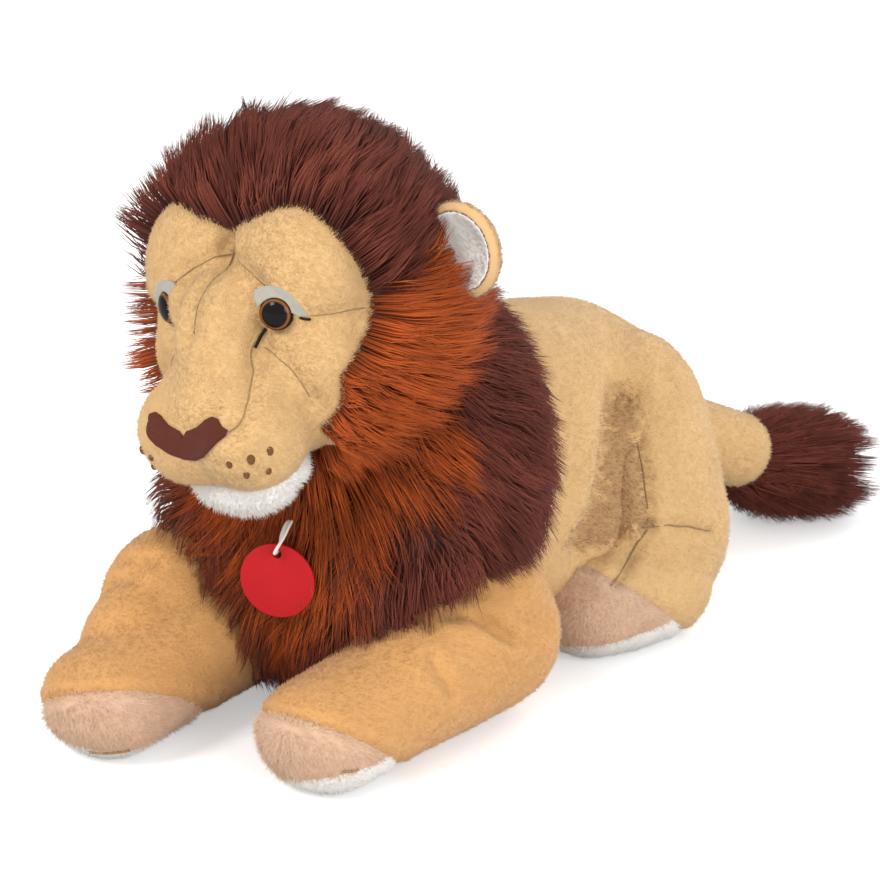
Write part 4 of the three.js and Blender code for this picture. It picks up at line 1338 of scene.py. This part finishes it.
def build_collar(sizes, rng):
    """The dark collar round the neck, and the rust chest that widens upward in front of it."""
    skin = Skin(COLLAR_FORM, voxel=4.0, rounds=5)
    skin.lie_flat(4)
    roots, normals = skin.roots(sizes.mane_density, rng)
    joined = (roots[:, 1] > BODY_JOIN["front"]) & (roots[:, 2] < BODY_JOIN["top"])
    joined &= np.abs(roots[:, 0]) < BODY_JOIN["half_width"]
    free = (roots[:, 2] > COLLAR_LOW) & (np.linalg.norm(roots - NECK, axis=1) > NECK_RADIUS) & ~joined
    roots, normals = roots[free], normals[free]
    bib = BIB["half_width"] * (roots[:, 2] - BIB["low"]) / (BIB["high"] - BIB["low"])
    bib = bib + rng.normal(scale=BIB["ragged"], size=len(roots))
    chest = (np.abs(roots[:, 0]) < bib) & (roots[:, 1] < BIB["back"])
    fall = 0.25 + 0.9 * np.clip((-roots[:, 1] - 140) / 30, 0, 1)
    shift = 30 + 8 * np.clip((-roots[:, 1] - 150) / 30, 0, 1)
    width = sizes.strand_width / MM
    for node, pick, material, slot in (
        ("mane_chest", chest, "chest_pile", "rust_pile"),
        ("mane_collar", ~chest, "dark_pile", "dark_pile"),
    ):
        rows = roots[pick], normals[pick], COLLAR_REACH, shift[pick], fall[pick]
        fur = long_pile(*rows, width=width, clump=12, pull=0.6, rng=rng)
        fur = held_up(fur, rng)
        put_strands(f"{node}_fur", fur, "torso", slot, material, rng, [node], **LONG_FUR)
    put("collar_skin", skin.cut(), "torso", "dark_pile", "dark_skin", ["mane_collar"])


def beyond(points, plane):
    """How far the points lie in front of a plane, given by a point and its normal."""
    point, normal = plane
    return (points - np.array(point)) @ np.array(normal)


def opposite(plane):
    """The same plane on the other side of the lion."""
    (x, y, z), (along_x, along_y, along_z) = plane
    return (-x, y, z), (-along_x, along_y, along_z)


def panel_plane(skin, pixels):
    """The plane of a toe panel's seam: through two pixels' places on the skin, and leaning back below."""
    first, last = (np.array(place) for place in skin.seen(pixels))
    normal = unit(np.cross(last - first, PANEL_LEAN))
    return tuple(first), tuple(normal if normal[1] < 0 else -normal)


def in_paw(points, plane, sole):
    """0 on the leg's cover, 1 on the toe panel and 2 on the sole."""
    return np.where(beyond(points, plane) > 0, np.where(beyond(points, sole) > 0, 2, 1), 0)


def put_leg(skin, limb, side, paw, plane, sole, flow, sizes, rng, tone=None):
    """A leg in its three sewn parts: cover, toe panel and sole, each with its own pile."""
    body = f"{limb}_{side}"
    skin.press(np.abs(beyond(skin.points, plane)), depth=1.6, width=2.8, roll=0.3)
    skin.lie_flat()
    point, normal = (Vector(value) for value in plane)
    low, down = (Vector(value) for value in sole)
    panel, pad = f"{paw}_panel_{side}", f"{paw}_sole_{side}"
    parts = (
        (body, f"{limb}_cover_{side}", "tan", [(point, normal)], 1.0),
        (f"{panel}_toes", panel, "paw", [(point, -normal), (low, down)], 1.3),
        (f"{pad}_pad", pad, "white", [(point, -normal), (low, -down)], 1.0),
    )
    for number, (title, node, colour, planes, fluff) in enumerate(parts):
        # Foreleg covers take the more orange tan, which is partly painted shade.
        dye = "honey" if limb == "foreleg" and not number else colour
        strands = pile(
            skin,
            lambda points, normals: in_paw(points, plane, sole) == number,
            density=sizes.plush_density * (1.5 if number else 1),
            length=sizes.plush_length / MM * fluff,
            width=sizes.plush_width / MM,
            flow=flow,
            lift=0.36 if number else 0.26,
            rng=rng,
            tone=tone,
            mess=0.25 if number == 1 else 0.1,
        )
        slot = f"{colour}_plush"
        soft = 0.6 if number == 1 else 0.85
        put_strands(f"{title}_pile", strands, body, slot, f"{dye}_pile", rng, soft=soft)
        mesh = skin.cut(planes)
        if not number:
            paint_flank_shade_on_backing(mesh)
        put(f"{title}_skin", mesh, body, slot, f"{dye}_skin", [node])
    put_stuffing(body, skin, body, f"{limb}_filling_{side}")


def seen_lines(skin, outlines):
    """One by one, the lines of pixels that the camera sees on a skin at two points or more."""
    for pixels in outlines:
        line = skin.seen(pixels)
        if len(line) > 1:
            yield line


def build_forelegs(sizes, rng):
    """The right foreleg reaches further forward and has a thick upper arm."""
    for side, sign in SIDES.items():
        reach = FORELEG_REACH[side]
        stations = (
            ((sign * 66, -110, 47), (42, 41, 44)),
            ((sign * 66, -150, 42), (40, 38, 40)),
            ((sign * 62, reach + 40, 33), (38, 34, 32)),
            ((sign * 60, reach + 2, 29), (38, 31, 30)),
        )
        parts = between(stations, 6) + [((sign * 69, -114, 66), (36, 34, 40))]
        if side == "right":
            parts += UPPER_ARM_FORM
        skin = Skin(parts, voxel=3.2, rounds=6)
        for line in seen_lines(skin, ARM_CREASES if side == "left" else SHOULDER_CREASES):
            skin.groove(line, depth=2.6, width=4.5, roll=0.4)
        plane = panel_plane(skin, PANEL_SEAMS[f"foreleg_{side}"])
        tilt = 0.3 if side == "left" else 0.05
        sole = ((sign * 60, reach, 12), tuple(unit(np.array((tilt * sign, 0, -1)))))
        for pixels in PAW_MARKS[side]:
            for line in seen_lines(skin, [pixels]):
                title = f"forepaw_mark_{side}_{pixels[0][0]}"
                put_thread(title, skin, line, 0.8, 0.7, f"foreleg_{side}", "nose_fabric", "seam")
        put_leg(skin, "foreleg", side, "forepaw", plane, sole, nap(0.0, 0.9, -0.5), sizes, rng)


def build_hindlegs(sizes, rng):
    """The photograph shows the left leg, and the right one has its seams mirrored."""
    for side, sign in SIDES.items():
        stations = (
            ((sign * 73, 40, 29), (33, 34, 31)),
            ((sign * 68, 10, 29), (34, 34, 31)),
            ((sign * 62, HIND_TOE_Y + 33, 30), (35, 31, 30)),
        )
        thigh = [
            ((sign * 52, 58, 105), (32, 43, 61)),
            ((sign * 63, 53, 74), (33, 49, 68)),
            ((sign * 70, 58, 56), (31, 42, 50)),
        ]
        skin = Skin(between(stations, 6) + thigh, voxel=3.2, rounds=6)
        if side == "left":
            seams = list(seen_lines(skin, (THIGH_SEAM, HEEL_CREASE, FOOT_SEAM)))
        for number, line in enumerate(seams):
            drawn = line if side == "left" else mirrored(line)
            skin.groove(drawn, depth=2.6, width=4.0, roll=0.3)
            # Thin darker tan tubes along the seams and the heel crease: painted shade of their grooves.
            title = f"hindleg_seam_{side}_{number}"
            put_thread(title, skin, drawn, 0.4, 0.45, f"hindleg_{side}", "tan_plush", "seam")
        plane = panel_plane(skin, PANEL_SEAMS["hindleg_left"]) if side == "left" else opposite(plane)
        sole = ((sign * 62, HIND_TOE_Y, 13), tuple(unit(np.array((0.12 * sign, 0.05, -1)))))
        flow = nap(0.0, 0.8, -0.5)
        put_leg(skin, "hindleg", side, "hindpaw", plane, sole, flow, sizes, rng, paint_flank_shade_on_pile)


def build_tail(sizes, rng):
    skin = Skin(between(TAIL_STATIONS, 8), voxel=3.0, rounds=4)
    skin.lie_flat()
    along = np.array(TAIL_STATIONS[-1][0], float) - np.array(TAIL_STATIONS[0][0])
    strands = pile(
        skin,
        lambda points, normals: points[:, 1] > TAIL_PILE_FRONT,
        density=sizes.plush_density * 1.1,
        length=sizes.plush_length / MM,
        width=sizes.plush_width / MM,
        flow=nap(*along),
        lift=0.34,
        rng=rng,
    )
    put_strands("tail_pile", strands, "tail", "tan_plush", "tan_pile", rng)
    mesh = skin.cut()
    paint(mesh, np.zeros(len(mesh.vertices)))
    put("tail_skin", mesh, "tail", "tan_plush", "tan_skin", ["tail_cover"])
    put_stuffing("tail", skin, "tail", "tail_filling")


def build_tuft(sizes, rng):
    """Long fur that stands out from a short core, widest half way along, and lies on the floor."""
    start, end = np.array(TUFT["root"], float), np.array(TUFT["tip"], float)
    core_radii = (TUFT["core"],) * 3
    stations = ((start, core_radii), (start * 0.4 + end * 0.6, core_radii))
    core = Skin(between(stations, 6), voxel=2.5, rounds=3)
    core.lie_flat()
    lead = unit(end - start)
    span = np.linalg.norm(end - start)
    roots, normals = core.roots(sizes.mane_density * 7, rng)
    count = len(roots)
    away = tangent(roots - start, np.tile(lead, (count, 1)))
    place = rng.beta(1.6, 1.5, count) * 1.32 - 0.15
    swell = np.sqrt(np.clip(1 - ((place - 0.5) / 0.72) ** 2, 0.02, 1))
    share = 1 - 0.3 * rng.random(count) ** 1.8
    tips = start + lead * (place * span)[:, None] + away * (TUFT["radius"] * swell * share)[:, None]
    tips += rng.normal(scale=1.2, size=tips.shape)
    tips[:, 2] = np.maximum(tips[:, 2], rng.uniform(1, 5, count))
    begin = roots - normals
    bends = begin * 0.5 + tips * 0.5 + away * 7
    head = gather(bends, tips, tips.copy(), 40, 0.75, rng)
    tips[:, 2] = np.maximum(tips[:, 2], 1)
    tones = rng.uniform(0, 1, count)[head] * 0.5 + rng.uniform(0, 0.5, count)
    widths = sizes.strand_width / MM * rng.uniform(*STRAND_WIDTHS, count)
    fur = Strands(begin, bends, tips, widths, tones, unit(away + lead * 0.3))
    put_strands("tail_tuft_fur", fur, "tail", "dark_pile", "dark_pile", rng, ["tail_tuft"], **LONG_FUR)
    put("tail_tuft_core", core.cut(), "tail", "dark_pile", "dark_skin", ["tail_tuft"])


def build_tag():
    """The disc hangs on a cord loop that is stitched under the chin."""
    turn = math.radians(TAG["turn"])
    facing = Vector((math.sin(turn), -math.cos(turn), 0))
    place = Matrix.Translation(TAG["centre"]) @ facing.to_track_quat("Z", "Y").to_matrix().to_4x4()
    hole = Matrix.Translation((0, TAG["radius"] - TAG["hole_drop"], 0))
    bm = bmesh.new()
    bmesh.ops.create_circle(bm, segments=96, radius=TAG["radius"])
    bmesh.ops.create_circle(bm, segments=96, radius=TAG["hole_radius"], matrix=hole)
    bmesh.ops.bridge_loops(bm, edges=bm.edges[:])
    bmesh.ops.translate(bm, vec=(0, 0, -TAG["thickness"] / 2), verts=bm.verts)
    made = bmesh.ops.extrude_face_region(bm, geom=bm.faces[:])
    top = [item for item in made["geom"] if isinstance(item, bmesh.types.BMVert)]
    bmesh.ops.translate(bm, vec=(0, 0, TAG["thickness"]), verts=top)
    bmesh.ops.recalc_face_normals(bm, faces=bm.faces)
    sharp = [edge for edge in bm.edges if edge.calc_face_angle(0) > math.radians(60)]
    bmesh.ops.bevel(
        bm,
        geom=sharp,
        offset=TAG["edge"],
        offset_type="OFFSET",
        segments=3,
        profile=0.5,
        affect="EDGES",
        material=-1,
    )
    bmesh.ops.transform(bm, matrix=place, verts=bm.verts)
    disc = put("tag_disc_plate", finished(bm, "tag"), "tag", "tag_plastic", "tag", ["tag_disc"])

    path = smooth_path(CORD_ROUTE, 6)
    tube = tube_mesh(path, CORD_DIAMETER / 2)
    loop = put("tag_cord_loop", tube, "tag", "cord", "cord", ["tag_cord"])
    places = [tuple(Vector(point) * MM + Vector(ORIGIN)) for point in path]
    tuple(places[0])
    sum((Vector(b) - Vector(a)).length for a, b in zip(places, places[1:]))


def smooth_path(points, steps):
    """A smooth curve through points, with so many steps from each point to the next."""
    points = [Vector(point) for point in points]
    ends = [points[0] * 2 - points[1], *points, points[-1] * 2 - points[-2]]
    path = []
    for before, start, end, after in zip(ends, ends[1:], ends[2:], ends[3:]):
        for step in range(steps):
            t = step / steps
            path.append((
                start * 2
                + (end - before) * t
                + (before * 2 - start * 5 + end * 4 - after) * t**2
                + (start * 3 - before - end * 3 + after) * t**3
            ) / 2)
    return path + [points[-1]]


def finish_hidden_nodes():
    """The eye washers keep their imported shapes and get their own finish."""
    for name, node in frame["nodes"].items():
        if "washer" in name:
            node.data.materials.clear()
            node.data.materials.append(MATERIALS["washer"])


def put_camera():
    """The camera stands where the photograph was taken."""
    right, up, back = camera_axes()
    camera = bpy.data.cameras.new("camera")
    camera.lens = CAMERA["lens"]
    camera.sensor_width = CAMERA["sensor"]
    camera.clip_end = 50
    eye = linked("camera", camera)
    eye.location = Vector(camera_place() * MM + ORIGIN)
    eye.rotation_euler = Matrix((right, up, back)).transposed().to_euler()
    bpy.context.scene.camera = eye


def put_floor():
    """The floor keeps the shadow, and the camera sees it a little brighter than it is."""
    bm = bmesh.new()
    bmesh.ops.create_grid(bm, x_segments=1, y_segments=1, size=8)
    floor = linked("floor", finished(bm, "floor"))
    graph = Graph("floor")
    seen = graph.add("ShaderNodeLightPath")
    matte = graph.add("ShaderNodeBsdfDiffuse", {}, {"Color": (0.82, 0.82, 0.82, 1)})
    glow = graph.add("ShaderNodeEmission", {}, {"Color": (1, 1, 1, 1), "Strength": 0.42})
    bright = graph.add("ShaderNodeAddShader", {}, {0: matte, 1: glow})
    graph.add_output(graph.add("ShaderNodeMixShader", {}, {0: seen, 1: matte, 2: bright}))
    floor.data.materials.append(graph.owner)
    floor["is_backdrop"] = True


def put_lamps():
    """Round lamps that aim at the lion."""
    for name, place, size, power, tint in LAMPS:
        lamp = bpy.data.lights.new(name, "AREA")
        lamp.shape = "DISK"
        lamp.size = size
        lamp.energy = power
        lamp.color = tint
        holder = linked(name, lamp)
        holder.location = place
        aim = Vector(LAMP_TARGET) - Vector(place)
        holder.rotation_euler = aim.to_track_quat("-Z", "Y").to_euler()


def put_world():
    """White behind the lion for the camera, and a softer white for what lights it."""
    graph = Graph("studio", "worlds")
    seen = graph.add("ShaderNodeLightPath")
    white = (1, 1, 1, 1)
    soft = graph.add("ShaderNodeBackground", {}, {"Color": white, "Strength": WORLD_LIGHT})
    plain = graph.add("ShaderNodeBackground", {}, {"Color": white, "Strength": 1.0})
    chosen = graph.add("ShaderNodeMixShader", {}, {0: seen, 1: soft, 2: plain})
    graph.add_output(chosen, "ShaderNodeOutputWorld")
    bpy.context.scene.world = graph.owner


# The add-on: its settings, operators and panel


class LionSizes(bpy.types.PropertyGroup):
    """Sizes of the pile and how densely it grows"""

    plush_length: FloatProperty(
        name="Plush length", description="Length of the short pile", default=0.0034, min=0.001, unit="LENGTH"
    )
    plush_width: FloatProperty(
        name="Plush width", description="Width of a short spike", default=0.0006, min=0.0001, unit="LENGTH"
    )
    face_pile: FloatProperty(
        name="Face pile", description="Length of the face's pile", default=0.0028, min=0.001, unit="LENGTH"
    )
    strand_width: FloatProperty(
        name="Strand width", description="Width of a long strand", default=0.0007, min=0.0001, unit="LENGTH"
    )
    mane_density: FloatProperty(
        name="Mane density", description="Long strands to a square millimetre", default=0.36, min=0.01
    )
    plush_density: FloatProperty(
        name="Plush density", description="Short spikes to a square millimetre", default=0.54, min=0.01
    )
    seed: IntProperty(name="Seed", description="Start of the random draws", default=7)


def colour_property(name, description, code):
    return FloatVectorProperty(
        name=name, description=description, subtype="COLOR", size=3, min=0, max=1, default=linear(code)
    )


class LionColours(bpy.types.PropertyGroup):
    """Colours of the plush, the pile, the felt and the tag"""

    tan: colour_property("Tan", "Short plush of the body and face", "dfb57c")
    paw: colour_property("Paw", "Plush of the toe panels", "dcb596")
    white: colour_property("White", "Plush of the chin, ears and soles", "f8f4ee")
    dark: colour_property("Dark mane", "Long pile of the crown, collar and tuft", "5a2c22")
    rust: colour_property("Rust mane", "Long pile of the cheeks and chest", "a64c1f")
    felt: colour_property("Felt", "Eyelids", "b1ada0")
    tag: colour_property("Tag", "Hang tag", "b4101a")


def draws(sizes, group):
    """The row of random numbers for one group of pieces."""
    return np.random.default_rng(sizes.seed * 100 + DRAW_ROWS[group])


class LionStage(bpy.types.Operator):
    """Sets the camera, the floor, the lamps and the world"""

    bl_idname = "lion.stage"
    bl_label = "Stage"

    def execute(self, context):
        put_camera()
        put_floor()
        put_lamps()
        put_world()
        context.scene.view_settings.view_transform = "Standard"
        return {"FINISHED"}


class LionMaterials(bpy.types.Operator):
    """Makes the finishes and puts one on the hidden washers"""

    bl_idname = "lion.materials"
    bl_label = "Finishes"

    def execute(self, context):
        make_materials(context.scene.lion_colours)
        finish_hidden_nodes()
        return {"FINISHED"}


class LionTag(bpy.types.Operator):
    """Hangs the tag on its cord"""

    bl_idname = "lion.tag"
    bl_label = "Tag"

    def execute(self, context):
        build_tag()
        return {"FINISHED"}


class LionHead(bpy.types.Operator):
    """Makes the head with its mane, chin, nose, lids and threads"""

    bl_idname = "lion.head"
    bl_label = "Head"

    def execute(self, context):
        sizes = context.scene.lion_sizes
        head = build_head(sizes, draws(sizes, "head"))
        build_chin(draws(sizes, "chin"))
        build_nose(head)
        build_lids(head)
        build_face_threads(head)
        return {"FINISHED"}


class LionEyes(bpy.types.Operator):
    """Makes the eyes"""

    bl_idname = "lion.eyes"
    bl_label = "Eyes"

    def execute(self, context):
        build_eyes()
        return {"FINISHED"}


class LionEars(bpy.types.Operator):
    """Makes the ears and their linings"""

    bl_idname = "lion.ears"
    bl_label = "Ears"

    def execute(self, context):
        build_ears(draws(context.scene.lion_sizes, "ears"))
        return {"FINISHED"}


class LionTorso(bpy.types.Operator):
    """Makes the body"""

    bl_idname = "lion.torso"
    bl_label = "Body"

    def execute(self, context):
        sizes = context.scene.lion_sizes
        build_torso(sizes, draws(sizes, "torso"))
        return {"FINISHED"}


class LionCollar(bpy.types.Operator):
    """Makes the collar and chest of the mane"""

    bl_idname = "lion.collar"
    bl_label = "Collar"

    def execute(self, context):
        sizes = context.scene.lion_sizes
        build_collar(sizes, draws(sizes, "collar"))
        return {"FINISHED"}


class LionLegs(bpy.types.Operator):
    """Makes the four legs with their paws"""

    bl_idname = "lion.legs"
    bl_label = "Legs"

    def execute(self, context):
        sizes = context.scene.lion_sizes
        build_forelegs(sizes, draws(sizes, "forelegs"))
        build_hindlegs(sizes, draws(sizes, "hindlegs"))
        return {"FINISHED"}


class LionTail(bpy.types.Operator):
    """Makes the tail and its tuft"""

    bl_idname = "lion.tail"
    bl_label = "Tail"

    def execute(self, context):
        sizes = context.scene.lion_sizes
        rng = draws(sizes, "tail")
        build_tail(sizes, rng)
        build_tuft(sizes, rng)
        return {"FINISHED"}


OPERATORS = (
    LionStage, LionMaterials, LionTag, LionHead, LionEyes, LionEars, LionTorso, LionCollar, LionLegs,
    LionTail,
)


class LionPanel(bpy.types.Panel):
    """Lists the sizes, the colours and a button for each group of pieces"""

    bl_idname = "VIEW3D_PT_lion"
    bl_label = "Plush Lion"
    bl_space_type = "VIEW_3D"
    bl_region_type = "UI"
    bl_category = "Plush Lion"

    def draw(self, context):
        for group in (context.scene.lion_sizes, context.scene.lion_colours):
            for name in group.__annotations__:
                self.layout.prop(group, name)
        for operator in OPERATORS:
            self.layout.operator(operator.bl_idname)


CLASSES = (LionSizes, LionColours, *OPERATORS, LionPanel)


def register():
    for item in CLASSES:
        bpy.utils.register_class(item)
    bpy.types.Scene.lion_sizes = PointerProperty(type=LionSizes)
    bpy.types.Scene.lion_colours = PointerProperty(type=LionColours)


def unregister():
    del bpy.types.Scene.lion_colours
    del bpy.types.Scene.lion_sizes
    for item in reversed(CLASSES):
        bpy.utils.unregister_class(item)


def main():
    register()
    for operator in OPERATORS:
        getattr(bpy.ops.lion, operator.bl_idname.split(".")[1])()
    boxes = {"cad": cad_box, "visual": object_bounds()}
    plain = {name: [list(corner) for corner in box] for name, box in boxes.items()}


if __name__ == "__main__":
    main()
